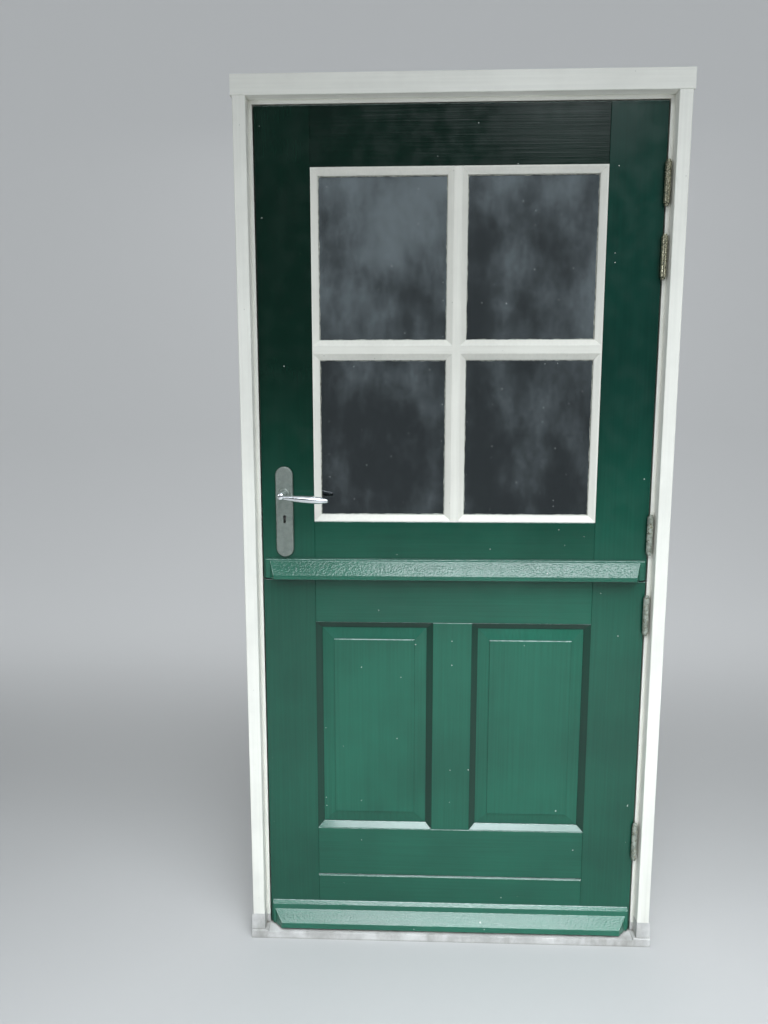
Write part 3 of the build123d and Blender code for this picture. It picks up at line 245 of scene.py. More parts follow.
class Finish:
    """A material and its node tree, built up by short calls."""

    def __init__(self, name, constants=None):
        self.material = bpy.data.materials.new(name)
        self.material.use_nodes = True
        self.tree = self.material.node_tree
        self.tree.nodes.clear()
        self.shader = self.node("BsdfPrincipled", constants)
        output = self.node("OutputMaterial")
        self.tree.links.new(self.shader.outputs[0], output.inputs["Surface"])
        self.place = self.node("TexCoord").outputs["Object"]

    def node(self, kind, inputs=None, **settings):
        """Adds a node, sets it up and feeds its inputs."""
        made = self.tree.nodes.new("ShaderNode" + kind)
        for key, value in settings.items():
            setattr(made, key, value)
        for socket, value in (inputs or {}).items():
            self.feed(made.inputs[socket], value)
        return made

    def feed(self, socket, value):
        """Links another socket to this one, or sets it to a number or colour."""
        if isinstance(value, bpy.types.NodeSocket):
            self.tree.links.new(value, socket)
        else:
            socket.default_value = value

    def use(self, socket, value):
        """Feeds one of the shader's own inputs."""
        self.feed(self.shader.inputs[socket], value)

    def mapped(self, stretch, shift=(0, 0, 0)):
        """The object's coordinates, stretched."""
        return self.node("Mapping", {"Vector": self.place, "Scale": stretch, "Location": shift}).outputs[0]

    def noise(self, scale, stretch=(1, 1, 1), detail=3.0, rough=0.5, shift=(0, 0, 0)):
        """Cloudy noise from 0 to 1, about 0.5 on average."""
        place = self.mapped(stretch, shift)
        sockets = {"Vector": place, "Scale": scale, "Detail": detail, "Roughness": rough}
        return self.node("TexNoise", sockets).outputs[0]

    def band(self, value, stretch, to_low=0.0, to_high=1.0):
        """Eases a stretch of a value, low end first, into another stretch, and holds it past the ends."""
        low, high = stretch
        sockets = {"Value": value, "From Min": low, "From Max": high, "To Min": to_low, "To Max": to_high}
        return self.node("MapRange", sockets, interpolation_type="SMOOTHSTEP").outputs["Result"]

    def math(self, operation, a, b):
        """Sum, product or the like of two values."""
        return self.node("Math", {0: a, 1: b}, operation=operation).outputs[0]

    def times(self, first, *others):
        """Product of several values."""
        result = first
        for value in others:
            result = self.math("MULTIPLY", result, value)
        return result

    def total(self, first, *others):
        """Sum of several values."""
        result = first
        for value in others:
            result = self.math("ADD", result, value)
        return result

    def larger(self, a, b):
        """The larger of two values."""
        return self.math("MAXIMUM", a, b)

    def rest(self, share):
        """What a share leaves of 1."""
        return self.math("SUBTRACT", 1.0, share)

    def mix(self, factor, a, b, kind="MIX"):
        """Mix of two colours."""
        made = self.node("Mix", data_type="RGBA", blend_type=kind)
        self.feed(made.inputs[0], factor)
        self.feed(made.inputs[6], a)
        self.feed(made.inputs[7], b)
        return made.outputs[2]

    def toned(self, colour, tone):
        """A colour made deeper or lighter by a tone about 1."""
        grey = self.node("CombineColor", {0: tone, 1: tone, 2: tone}).outputs[0]
        return self.mix(1.0, colour, grey, "MULTIPLY")

    def height(self, stretch):
        """From 0 below one height of the door to 1 above another."""
        z = self.node("SeparateXYZ", {0: self.place}).outputs["Z"]
        return self.band(z, stretch)

    def lean(self, normal):
        """The upward part of a normal."""
        return self.node("SeparateXYZ", {0: normal}).outputs["Z"]

    def flat_normal(self):
        """The normal as the mesh has it."""
        return self.node("NewGeometry").outputs["Normal"]

    def specks(self, pitch, size, share, shift=(0, 0, 0)):
        """Scattered round dots on what faces forward, one to a cell of the pitch, in a share of the cells."""
        split = self.node("SeparateXYZ", {0: self.mapped((1, 1, 1), shift)}).outputs
        flat = self.node("CombineXYZ", {0: split["X"], 1: split["Z"]}).outputs[0]
        sockets = {"Vector": flat, "Scale": 1 / pitch, "Randomness": 1.0}
        cells = self.node("TexVoronoi", sockets, voronoi_dimensions="2D").outputs
        luck = self.node("SeparateColor", {0: cells["Color"]}).outputs[0]
        reach = self.times(self.band(luck, (1 - share, 1)), size / pitch)
        near = self.math("SUBTRACT", reach, cells["Distance"])
        facing = self.node("SeparateXYZ", {0: self.flat_normal()}).outputs["Y"]
        forward = self.band(self.math("ABSOLUTE", facing, 0.0), SPECK_FACING)
        return self.times(self.band(near, SPECK_RIM), forward)

    def hollow(self, distance):
        """1 deep in a groove or a corner, 0 in the open."""
        open_share = self.node("AmbientOcclusion", {"Distance": distance}, samples=6).outputs["AO"]
        return self.band(open_share, GROOVE_SKY)

    def rounded(self, radius):
        """The normal with its edges rounded, and 1 on the edges themselves."""
        soft = self.node("Bevel", {"Radius": radius}, samples=4).outputs[0]
        pair = {0: soft, 1: self.flat_normal()}
        same = self.node("VectorMath", pair, operation="DOT_PRODUCT").outputs["Value"]
        return soft, self.band(same, EDGE_AGREEMENT)

    def bump(self, relief, distance, normal=None):
        """Feeds the normal with a relief whose 0 to 1 is a distance in metres."""
        made = self.node("Bump", {"Height": relief, "Distance": distance, "Strength": 1.0})
        if normal is not None:
            self.feed(made.inputs["Normal"], normal)
        self.use("Normal", made.outputs[0])


def brush_relief(finish, along, width):
    """Brush marks: fine ridges along the stroke, uneven from one stroke to the next."""
    ridges = finish.noise(1 / width, along, detail=2.0, rough=0.55)
    strokes = finish.noise(0.16 / width, along, detail=2.0, shift=(3.1, 1.7, 5.3))
    return finish.times(ridges, finish.band(strokes, CLOUDS, 0.35, 1.0))


def worn_and_highlit_arrises(paint, soft, edge, lean):
    """Patchy pale wear and painted highlight, only on the edges that face up and would catch the light from
    above.
    """
    patchy = paint.band(paint.noise(90, detail=2.0, shift=(2, 4, 1)), (0.3, 0.6), 0.5, 1.0)
    upper_edge = paint.times(paint.band(paint.lean(soft), (0.08, 0.4)), paint.band(lean, (-0.3, -0.1)))
    return paint.times(edge, patchy, upper_edge)


def green_paint(
    name, along, marks=1.0, swell=1.0, ripple=0.0, tint=1.0, top=GREEN_HIGH_DEEP_AND_SHADED,
    shade_lean=(-0.4, -0.1), shaded_share=0.5, gloss=(0.15, 0.26),
):
    """Dark green gloss paint, brushed along a board, with deeper paint and painted shade towards the top, and
    painted shade where a face leans down.

    Marks, swell and ripple scale the relief of the brush, of the board and of wrinkles in the paint. The tone
    falls to the shaded share over the shade lean stretch of a face's lean, as painted shade. A tint other
    than 1 lightens or deepens the whole copy, as painted light or shade. Gloss is the roughness, from least
    to most.
    """
    paint = Finish(name, {"IOR": GREEN_IOR + RIPPLE_IOR * ripple})
    soft, edge = paint.rounded(0.0019)
    lean = paint.lean(paint.flat_normal())
    # Darker towards the top: deeper paint and painted shade
    colour = paint.mix(paint.height(GREEN_DEEPENS_AND_SHADES), GREEN_LOW, top)
    clouds = paint.band(paint.noise(3.1, detail=4.0), CLOUDS, 0.84 * tint, 1.16 * tint)
    streaks = paint.band(paint.noise(210, along), STREAKS, 0.93, 1.07)
    # Random tone, with painted shade on the faces that lean down
    colour = paint.toned(colour, paint.times(clouds, streaks, paint.band(lean, shade_lean, shaded_share, 1.0)))
    if not ripple:
        # Faces that lean up: a little dust and painted sky reflection
        colour = paint.mix(paint.band(lean, (0.12, 0.24), 0.0, 0.2), colour, GREEN_DUST_AND_SKY_SHEEN)
    # Grooves and recesses: dirt and painted shade
    dirt_and_shade = paint.larger(paint.hollow(0.005), paint.times(paint.hollow(0.016), 0.7))
    colour = paint.mix(dirt_and_shade, colour, GROOVE_DIRT_AND_SHADE)
    # Edges that face up: patchy wear and painted highlight
    colour = paint.mix(worn_and_highlit_arrises(paint, soft, edge, lean), colour, GREEN_WEAR_AND_HIGHLIGHT)
    small = paint.specks(pitch=0.045, size=0.0013, share=0.12)
    large = paint.specks(pitch=0.19, size=0.0023, share=0.25, shift=(0.3, 0.7, 0.1))
    speck = paint.larger(small, large)
    paint.use("Base Color", paint.mix(speck, colour, WHITE_SPECK))
    sheen = paint.band(paint.noise(26, detail=4.0), CLOUDS, *gloss)
    paint.use("Roughness", paint.total(sheen, paint.times(speck, 0.3)))
    relief = paint.total(
        paint.times(brush_relief(paint, along, 0.0045), 0.8 * marks),
        paint.times(paint.noise(150, detail=1.0), 0.35),
        paint.times(paint.noise(22, detail=1.0), 1.3 * swell),
        paint.times(speck, 1.2),
    )
    if ripple:
        wrinkles = paint.noise(310, (0.6, 1, 1), detail=1.5)
        relief = paint.total(relief, paint.times(wrinkles, RIPPLE_RELIEF * ripple))
    paint.bump(relief, GREEN_RELIEF, soft)
    return paint.material


def cream_paint(name, along, tint=CREAM):
    """Cream gloss paint with a little grime low down, and grime and painted shade in its corners."""
    paint = Finish(name, {"IOR": 1.5})
    soft, edge = paint.rounded(0.0012)
    clouds = paint.band(paint.noise(4.3, detail=5.0, rough=0.6), CLOUDS, 0.93, 1.03)
    streaks = paint.band(paint.noise(180, along, detail=2.0), STREAKS, 0.97, 1.02)
    colour = paint.toned(tint, paint.times(clouds, streaks))
    splashes = paint.band(paint.noise(30, along, detail=4.0, rough=0.6), (0.42, 0.72), 0.0, 0.35)
    low = paint.times(splashes, paint.rest(paint.height((0.05, 0.45))))
    # Grime splashed low down, and grime and painted shade in the corners
    grime_and_shade = paint.larger(low, paint.times(paint.hollow(0.008), 0.65))
    colour = paint.mix(grime_and_shade, colour, CREAM_GRIME_AND_SHADE)
    speck = paint.specks(pitch=0.03, size=0.0010, share=0.14, shift=(1.3, 0.2, 2.2))
    paint.use("Base Color", paint.mix(paint.times(speck, 0.8), colour, DARK_SPECK))
    paint.use("Roughness", paint.band(paint.noise(18, detail=4.0), CLOUDS, 0.3, 0.46))
    relief = paint.total(
        paint.times(brush_relief(paint, along, 0.003), 0.7),
        paint.times(paint.noise(120, detail=1.0), 0.3),
        paint.times(paint.noise(16, detail=2.0), 1.2),
        paint.times(edge, -0.4),
    )
    paint.bump(relief, 0.00012, soft)
    return paint.material


def window_glass():
    """Dark tinted glass with a pale cloudy bloom, denser towards the top, and dust."""
    glass = Finish("window_glass", {"IOR": 1.5, "Transmission Weight": 1.0})
    clouds = glass.noise(7, (1, 1, 0.6), detail=5.0, rough=0.6)
    rise = glass.times(glass.height((1.2, 1.95)), 0.2)
    bloom = glass.band(glass.total(clouds, rise), (0.46, 0.84))
    small = glass.specks(pitch=0.03, size=0.0009, share=0.2)
    large = glass.specks(pitch=0.11, size=0.0017, share=0.25, shift=(0.1, 0.5, 0.9))
    dust = glass.larger(small, large)
    colour = glass.mix(bloom, GLASS_DARK, GLASS_BLOOM)
    glass.use("Base Color", glass.mix(dust, colour, GLASS_DUST))
    glass.use("Transmission Weight", glass.rest(glass.times(dust, 0.9)))
    glass.use("Roughness", glass.total(glass.band(bloom, (0.0, 1.0), 0.0, 0.05), glass.times(dust, 0.4)))
    glass.bump(glass.noise(7, detail=1.0), 0.0006)
    return glass.material


def weathered_stone():
    """Grey concrete-like stone, grained and stained near the ground."""
    stone = Finish("weathered_stone", {"IOR": 1.45})
    soft = stone.rounded(0.0016)[0]
    grain = stone.noise(420, detail=4.0, rough=0.7)
    clouds = stone.noise(14, detail=6.0, rough=0.6)
    colour = stone.mix(stone.band(clouds, (0.35, 0.68)), STONE_PALE, STONE_DARK)
    colour = stone.mix(stone.band(grain, (0.55, 0.75), 0.0, 0.5), colour, STONE_STAIN_AND_SHADE)
    stain = stone.band(stone.noise(24, (1, 1, 0.35), detail=5.0, shift=(4, 4, 4)), (0.5, 0.72), 0.0, 0.55)
    # Stains, with stain and painted shade in the hollows
    stone.use("Base Color", stone.mix(stone.larger(stain, stone.hollow(0.01)), colour, STONE_STAIN_AND_SHADE))
    stone.use("Roughness", stone.band(clouds, CLOUDS, 0.7, 0.92))
    pits = stone.specks(pitch=0.006, size=0.0012, share=0.3)
    stone.bump(stone.total(grain, stone.times(clouds, 1.5), stone.times(pits, -1.4)), 0.0004, soft)
    return stone.material


def seal_rubber():
    """Black rubber with a dusty bloom."""
    rubber = Finish("seal_rubber", {"IOR": 1.5})
    bloom = rubber.noise(60, (0.3, 1, 0.3), detail=4.0, rough=0.6)
    rubber.use("Base Color", rubber.mix(rubber.band(bloom, (0.4, 0.75)), RUBBER_BLACK, RUBBER_BLOOM))
    rubber.use("Roughness", rubber.band(bloom, CLOUDS, 0.5, 0.75))
    rubber.bump(rubber.noise(500, detail=2.0), 0.00005)
    return rubber.material


def metal(name, colours, rough, along):
    """Worn metal with fine lines along one way and dull fingered patches."""
    bright, dull = colours
    steel = Finish(name, {"Metallic": 1.0})
    soft, edge = steel.rounded(0.0005)
    lines = steel.noise(1 / 0.0006, along, rough=0.6)
    patches = steel.noise(55, detail=5.0, rough=0.6)
    colour = steel.mix(steel.band(patches, (0.35, 0.7)), bright, dull)
    colour = steel.mix(steel.band(lines, (0.4, 0.8), 0.0, 0.3), colour, dull)
    colour = steel.mix(steel.times(edge, 0.8), colour, METAL_EDGE)
    # Hollows: dirt and painted shade
    steel.use("Base Color", steel.mix(steel.times(steel.hollow(0.003), 0.7), colour, METAL_DIRT_AND_SHADE))
    patch_rough = steel.band(patches, CLOUDS, rough * 0.8, rough * 1.25)
    steel.use("Roughness", steel.total(patch_rough, steel.band(lines, CLOUDS, -0.04, 0.04)))
    steel.bump(lines, 0.00002, soft)
    return steel.material


def hinge_metal():
    """Hinges with old paint on them: pale worn brass near the top, grey-green and chipped below."""
    hinge = Finish("hinge_metal")
    soft, edge = hinge.rounded(0.0006)
    patches = hinge.noise(190, detail=5.0, rough=0.65)
    cover = hinge.math("SUBTRACT", patches, hinge.times(edge, 0.18))
    upper = hinge.height((1.3, 1.65))
    cover = hinge.math("SUBTRACT", cover, hinge.times(upper, 0.15))
    painted = hinge.band(cover, (0.40, 0.44))
    brass = hinge.mix(hinge.band(hinge.noise(300, detail=4.0), CLOUDS), BRASS_BRIGHT, BRASS_DULL)
    old = hinge.mix(hinge.band(hinge.noise(90, detail=4.0), (0.35, 0.65)), OLD_PAINT_DARK, OLD_PAINT_PALE)
    colour = hinge.mix(painted, brass, hinge.mix(upper, old, OLD_PAINT_TOP))
    # Hollows: dirt and painted shade
    hinge.use("Base Color", hinge.mix(hinge.hollow(0.006), colour, HINGE_DIRT_AND_SHADE))
    hinge.use("Metallic", hinge.times(hinge.rest(painted), 0.85))
    hinge.use("Roughness", hinge.band(patches, CLOUDS, 0.16, 0.42))
    hinge.bump(hinge.total(painted, hinge.times(hinge.noise(600), 0.5)), 0.00015, soft)
    return hinge.material


def sealant():
    """Pale glazing sealant, thin and a little dirty."""
    putty = Finish("glazing_sealant", {"IOR": 1.45})
    clouds = putty.noise(120, detail=4.0, rough=0.65)
    putty.use("Base Color", putty.mix(putty.band(clouds, (0.4, 0.7)), PUTTY_PALE, PUTTY_DIRTY))
    putty.use("Roughness", putty.band(clouds, CLOUDS, 0.35, 0.6))
    putty.bump(putty.noise(700), 0.0001)
    return putty.material


def studio_paper():
    """Pale paper, darker in front. Behind the door it glows for camera, glossy and transmission rays."""
    paper = Finish("studio_paper", {"IOR": 1.3})
    clouds = paper.noise(1.1, detail=5.0)
    reach = paper.node("SeparateXYZ", {0: paper.place}).outputs["Y"]
    pale = paper.mix(paper.band(reach, PAPER_PALES), PAPER_FRONT, PAPER_BACK)
    paper.use("Base Color", paper.mix(paper.band(clouds, CLOUDS, 0.0, 0.3), pale, PAPER_CLOUD))
    path = paper.node("LightPath").outputs
    mirrored = paper.larger(path["Is Glossy Ray"], path["Is Transmission Ray"])
    seen = paper.larger(path["Is Camera Ray"], mirrored)
    paper.use("Emission Color", PAPER_GLOW_TINT)
    paper.use("Emission Strength", paper.times(seen, paper.band(reach, PAPER_GLOWS, 0.0, PAPER_GLOW)))
    paper.use("Roughness", paper.band(clouds, CLOUDS, 0.75, 0.85))
    paper.bump(paper.noise(400, detail=2.0), 0.0001)
    return paper.material


def dress(material, *names):
    """Gives a finish to nodes of the solids."""
    for name in names:
        for material_slot in nodes[name].material_slots:
            material_slot.material = material


def new_piece(name, mesh, material, body):
    """Adds a mesh as a piece that rides on a body."""
    piece = bpy.data.objects.new(name, mesh)
    scene.collection.objects.link(piece)
    mesh.materials.append(material)
    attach(piece, body)
    return piece


def smooth(mesh):
    """Shades a mesh smoothly."""
    mesh.polygons.foreach_set("use_smooth", [True] * len(mesh.polygons))


def finished(shape, name):
    """Turns a built shape into a mesh."""
    bmesh.ops.recalc_face_normals(shape, faces=shape.faces)
    mesh = bpy.data.meshes.new(name)
    shape.to_mesh(mesh)
    shape.free()
    return mesh


def eased(knots, steps):
    """Points on a smooth curve through knots of distance and radius."""
    points = []
    last = len(knots) - 1
    for k in range(last):
        before, start, end, after = (Vector(knots[max(0, min(last, k + shift))]) for shift in (-1, 0, 1, 2))
        lean_in = (end - before) / 2
        lean_out = (after - start) / 2
        for step in range(steps):
            t = step / steps
            near = (2 * t ** 3 - 3 * t ** 2 + 1) * start + (t ** 3 - 2 * t ** 2 + t) * lean_in
            far = (3 * t ** 2 - 2 * t ** 3) * end + (t ** 3 - t ** 2) * lean_out
            points.append(tuple(near + far))
    return points + [knots[-1]]


def turned(shape, origin, direction, profile, sides):
    """Adds a closed surface turned about an axis, from pairs of distance along it and radius."""
    along = Vector(direction).normalized()
    across = along.orthogonal().normalized()
    other = along.cross(across)
    turns = [2 * math.pi * side / sides for side in range(sides)]
    spokes = [across * math.cos(turn) + other * math.sin(turn) for turn in turns]
    rings = []
    for distance, radius in profile:
        centre = Vector(origin) + along * distance
        if radius == 0:
            rings.append([shape.verts.new(centre)])
        else:
            rings.append([shape.verts.new(centre + spoke * radius) for spoke in spokes])
    for low, high in zip(rings, rings[1:]):
        for side in range(sides):
            after = (side + 1) % sides
            lower = [low[side % len(low)], low[after % len(low)]]
            upper = [high[after % len(high)], high[side % len(high)]]
            shape.faces.new(list(dict.fromkeys(lower + upper)))


def bar_profile():
    """The lever's bar: a closed start, a swell through the knots and a round tip."""
    length, tip_radius = BAR_KNOTS[-1]
    profile = [(BAR_START, 0), (BAR_START, BAR_START_RADIUS)] + eased(BAR_KNOTS, BAR_STEPS)
    for step in range(1, BAR_STEPS):
        turn = math.pi / 2 * step / BAR_STEPS
        profile.append((length + BAR_TIP_LENGTH * math.sin(turn), tip_radius * math.cos(turn)))
    return profile + [(length + BAR_TIP_LENGTH, 0)]


def lever(name, node, inner):
    """Smooth lever in place of the solid one: a grooved neck and a swelling bar with a round tip."""
    shape = bmesh.new()
    turned(shape, (SPINDLE_X, NECK_BACK, SPINDLE_Z), (0, -1, 0), NECK_PROFILE, LEVER_SIDES)
    root = (SPINDLE_X, LEVER_Y, SPINDLE_Z - LEVER_BELOW)
    turned(shape, root, (math.cos(LEVER_DROOP), 0, -math.sin(LEVER_DROOP)), bar_profile(), LEVER_SIDES)
    if inner:
        for corner in shape.verts:
            corner.co.y = 2 * LEAF_MIDDLE - corner.co.y
    mesh = finished(shape, name)
    smooth(mesh)
    piece = new_piece(name, mesh, LEVER_METAL, "handle")
    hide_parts(node)


def screw_head(shape, centre, out, radius, turn):
    """Adds a slotted screw head: two domed halves on a thin disc."""
    out = Vector(out)
    across = out.orthogonal().normalized()
    across.rotate(Quaternion(out, turn))
    other = out.cross(across)
    disc = [(0, 0), (0, radius), (DISC_HEIGHT, radius * DISC_SHARE), (DISC_HEIGHT, 0)]
    turned(shape, centre, out, disc, SCREW_SIDES)
    for side in (1, -1):
        layers = []
        for share, lift in DOME_LAYERS:
            reach = radius * share
            first = math.asin(radius * SLOT_HALF_SHARE / reach)
            middle = Vector(centre) + out * lift
            layer = []
            for step in range(SLOT_STEPS + 1):
                a = first + (math.pi - 2 * first) * step / SLOT_STEPS
                edge = middle + across * reach * math.cos(a)
                layer.append(shape.verts.new(edge + other * reach * math.sin(a) * side))
            layers.append(layer)
        for low, high in zip(layers, layers[1:]):
            for step in range(SLOT_STEPS):
                shape.faces.new((low[step], low[step + 1], high[step + 1], high[step]))
        shape.faces.new(layers[-1])
        shape.faces.new([layer[0] for layer in layers] + [layer[-1] for layer in reversed(layers)])


def screws(name, material, body, out, radius, places):
    """A set of screw heads on one face, each turned by chance."""
    shape = bmesh.new()
    for place in places:
        screw_head(shape, place, out, radius, chance.uniform(0, math.pi))
    new_piece(name, finished(shape, name), material, body)


def about(middle, reach):
    """Two places, one on each side of a middle."""
    return (middle - reach, middle + reach)


def on_base(middle, half, heights):
    """Screws in two columns on the face of a bolt's base or keeper."""
    return [(x, BOLT_BASE_FACE_Y, z) for x in about(middle, half) for z in heights]


def hinge_places(x, heights):
    """Three staggered screws on each hinge leaf."""
    return [(x, y, z + rise) for z in heights for y, rise in HINGE_STAGGER]


def sealant_loop(name, across, up, face, out):
    """Ragged thin line of sealant where a pane meets its beads."""
    left, right = across
    foot, top = up
    corners = [Vector(corner) for corner in ((left, foot), (right, foot), (right, top), (left, top))]
    outline = []
    for start, end in zip(corners, corners[1:] + corners[:1]):
        count = round((end - start).length / SEALANT_STEP)
        outline += [start.lerp(end, step / count) for step in range(count)]
    shape = bmesh.new()
    rows = []
    for x, z in outline:
        spot = Vector((x * SEALANT_PITCH, face * SEALANT_SHIFT, z * SEALANT_PITCH))
        flicker = REACH_FLICKER * noise.noise(spot * FLICKER_FINER)
        reach = SEALANT_REACH + REACH_WAVER * noise.noise(spot) + flicker
        lift = SEALANT_LIFT + LIFT_WAVER * noise.noise(spot * LIFT_FINER)
        row = [shape.verts.new((x, face, z)), shape.verts.new((x, face + out * lift, z))]
        for share, height in SEALANT_SECTION:
            inset = reach * share
            near_x = min(max(x, left + inset), right - inset)
            near_z = min(max(z, foot + inset), top - inset)
            row.append(shape.verts.new((near_x, face + out * lift * height, near_z)))
        rows.append(row)
    for row, after in zip(rows, rows[1:] + rows[:1]):
        for k in range(len(row) - 1):
            shape.faces.new((row[k], after[k], after[k + 1], row[k + 1]))
    mesh = finished(shape, name)
    smooth(mesh)
    new_piece(name, mesh, SEALANT, "upper_leaf")


def sealant_lines():
    """Sealant round each pane, outside between the beads and inside between the stiles, rails and bars."""
    outer_across = {"left": (-STILE_EDGE, -BAR_CORE_HALF), "right": (BAR_CORE_HALF, STILE_EDGE)}
    inner_across = {"left": (-STILE_EDGE + GLASS_LIP, -BAR_HALF), "right": (BAR_HALF, STILE_EDGE - GLASS_LIP)}
    outer_up = {
        "lower": (WINDOW_FOOT, BAR_MIDDLE - BAR_CORE_HALF),
        "upper": (BAR_MIDDLE + BAR_CORE_HALF, WINDOW_TOP),
    }
    inner_up = {
        "lower": (WINDOW_FOOT + GLASS_LIP, BAR_MIDDLE - BAR_HALF),
        "upper": (BAR_MIDDLE + BAR_HALF, WINDOW_TOP - GLASS_LIP),
    }
    for side, (left, right) in outer_across.items():
        across = (left + BEAD_WIDTH, right - BEAD_WIDTH)
        for level, (foot, top) in outer_up.items():
            up = (foot + BEAD_WIDTH, top - BEAD_WIDTH)
            sealant_loop(f"sealant_outside_{level}_{side}", across, up, GLASS_OUT, -1)
            sealant_loop(f"sealant_inside_{level}_{side}", inner_across[side], inner_up[level], GLASS_IN, 1)


# Copies with a tint other than 1 are painted light or shade: the top rail and the lower stiles darker, the
# panels and the weather bars lighter
GREEN_LEVEL = green_paint("green_gloss_level", ALONG_X)
GREEN_UPRIGHT = green_paint("green_gloss_upright", ALONG_Z)
# Hinge stile of the upper leaf, with painted light at its top
GREEN_LIT_STILE = green_paint("green_gloss_lit_stile", ALONG_Z, top=GREEN_HIGH_LIT)
GREEN_SHADED = green_paint("green_gloss_shaded", ALONG_Z, tint=0.86)
GREEN_TOP = green_paint("green_gloss_top", ALONG_X, marks=3.5, tint=0.78)
GREEN_PANEL = green_paint("green_gloss_panel", ALONG_Z, swell=4.0, tint=1.08)
# Mouldings: painted shade on all but the splays that face up
GREEN_SPLAY = green_paint(
    "green_gloss_moulding", ALONG_Z, shade_lean=(0.05, 0.3), shaded_share=0.4, gloss=(0.09, 0.15),
)
GREEN_BAR = green_paint("green_gloss_bar", ALONG_X, ripple=1.0, tint=1.35, gloss=(0.13, 0.2))
GREEN_FOOT = green_paint("green_gloss_foot", ALONG_X, ripple=0.6, tint=1.35, gloss=(0.13, 0.2))
CREAM_LEVEL = cream_paint("cream_gloss_level", ALONG_X)
CREAM_UPRIGHT = cream_paint("cream_gloss_upright", ALONG_Z)
FRAME_LEVEL = cream_paint("frame_gloss_level", ALONG_X, CREAM_FRAME)
FRAME_UPRIGHT = cream_paint("frame_gloss_upright", ALONG_Z, CREAM_FRAME)
PLATE_METAL = metal("plate_metal", PLATE_COLOURS, 0.46, ALONG_Z)
LEVER_METAL = metal("lever_metal", LEVER_COLOURS, 0.15, ALONG_X)
LOCK_STEEL = metal("lock_steel", LOCK_COLOURS, 0.3, ALONG_Z)
BOLT_STEEL = metal("bolt_steel", BOLT_COLOURS, 0.36, ALONG_X)
HINGE_METAL = hinge_metal()
SEALANT = sealant()

dress(GREEN_TOP, "upper_top_rail")
dress(GREEN_LEVEL, "upper_bottom_rail", "lower_top_rail", "lower_mid_rail", "lower_bottom_rail")
dress(GREEN_UPRIGHT, "upper_stile_lock")
dress(GREEN_SHADED, "lower_stile_hinge", "lower_stile_lock")
dress(GREEN_LIT_STILE, "upper_stile_hinge")
dress(GREEN_PANEL, "panel_left", "panel_right", "lower_muntin")
dress(GREEN_SPLAY, "panel_moulding_left", "panel_moulding_right")
dress(GREEN_BAR, "upper_weather_bar")
dress(GREEN_FOOT, "lower_weather_bar")
dress(FRAME_LEVEL, "frame_head")
dress(FRAME_UPRIGHT, "frame_jamb_left", "frame_jamb_right")
dress(CREAM_LEVEL, "glazing_bar_left", "glazing_bar_right")
dress(
    CREAM_UPRIGHT, "glazing_bar_vertical", "glazing_beads_lower_left", "glazing_beads_lower_right",
    "glazing_beads_upper_left", "glazing_beads_upper_right",
)
dress(window_glass(), "pane_lower_left", "pane_lower_right", "pane_upper_left", "pane_upper_right")
dress(weathered_stone(), "threshold", "plinth_block_left", "plinth_block_right")
dress(seal_rubber(), "draught_seal")
dress(
    HINGE_METAL, "upper_hinge_frame_leaves", "lower_hinge_frame_leaves", "upper_hinge_door_leaves",
    "lower_hinge_door_leaves", "hinge_pins",
)
dress(PLATE_METAL, "backplate_outside", "backplate_inside", "backplate_screws")
dress(LEVER_METAL, "lever_outside", "lever_inside")
dress(
    LOCK_STEEL, "lock_case", "lock_forend", "lock_follower", "latch_bolt", "deadbolt", "spindle",
    "strike_plate",
)
dress(
    BOLT_STEEL, "coupling_bolt_base", "coupling_bolt_rod", "coupling_bolt_keeper", "lower_bolt_base",
    "lower_bolt_rod", "lower_bolt_keeper", "frame_dowels",
)

lever("lever_outside_smooth", "lever_outside", inner=False)
lever("lever_inside_smooth", "lever_inside", inner=True)
sealant_lines()

screws(
    "hinge_screws_frame", HINGE_METAL, "frame", LEFTWARDS, HINGE_HEAD,
    hinge_places(FRAME_LEAF_X, UPPER_HINGES + LOWER_HINGES),
)
screws(
    "hinge_screws_upper", HINGE_METAL, "upper_leaf", RIGHTWARDS, HINGE_HEAD,
    hinge_places(DOOR_LEAF_X, UPPER_HINGES),
)
screws(
    "hinge_screws_lower", HINGE_METAL, "lower_leaf", RIGHTWARDS, HINGE_HEAD,
    hinge_places(DOOR_LEAF_X, LOWER_HINGES),
)
screws(
    "forend_screws", LOCK_STEEL, "upper_leaf", LEFTWARDS, FOREND_HEAD,
    [(FOREND_FACE_X, LEAF_MIDDLE, z) for z in FOREND_HEIGHTS],
)
strike_low, strike_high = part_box("strike_plate")
strike_middle = (strike_low.y + strike_high.y) / 2
screws(
    "strike_screws", LOCK_STEEL, "frame", RIGHTWARDS, STRIKE_HEAD,
    [(strike_high.x, strike_middle, z) for z in (strike_low.z + STRIKE_INSET, strike_high.z - STRIKE_INSET)],
)
screws(
    "coupling_bolt_screws", BOLT_STEEL, "upper_leaf", INWARDS, BOLT_HEAD,
    on_base(COUPLING_X, COUPLING_BASE_HALF, COUPLING_BASE_HEIGHTS),
)
screws(
    "coupling_keeper_screws", BOLT_STEEL, "lower_leaf", INWARDS, BOLT_HEAD,
    on_base(COUPLING_X, COUPLING_KEEPER_HALF, (COUPLING_KEEPER_Z,)),
)
screws(
    "lower_bolt_screws", BOLT_STEEL, "lower_leaf", INWARDS, BOLT_HEAD,
    on_base(LOWER_BOLT_X, LOWER_BASE_HALF, about(LOWER_BOLT_Z, LOWER_BASE_RISE)),
)
screws(
    "lower_keeper_screws", BOLT_STEEL, "frame", RIGHTWARDS, KEEPER_HEAD,
    [(LOWER_KEEPER_FACE_X, LOWER_KEEPER_Y, z) for z in about(LOWER_BOLT_Z, LOWER_KEEPER_RISE)],
)


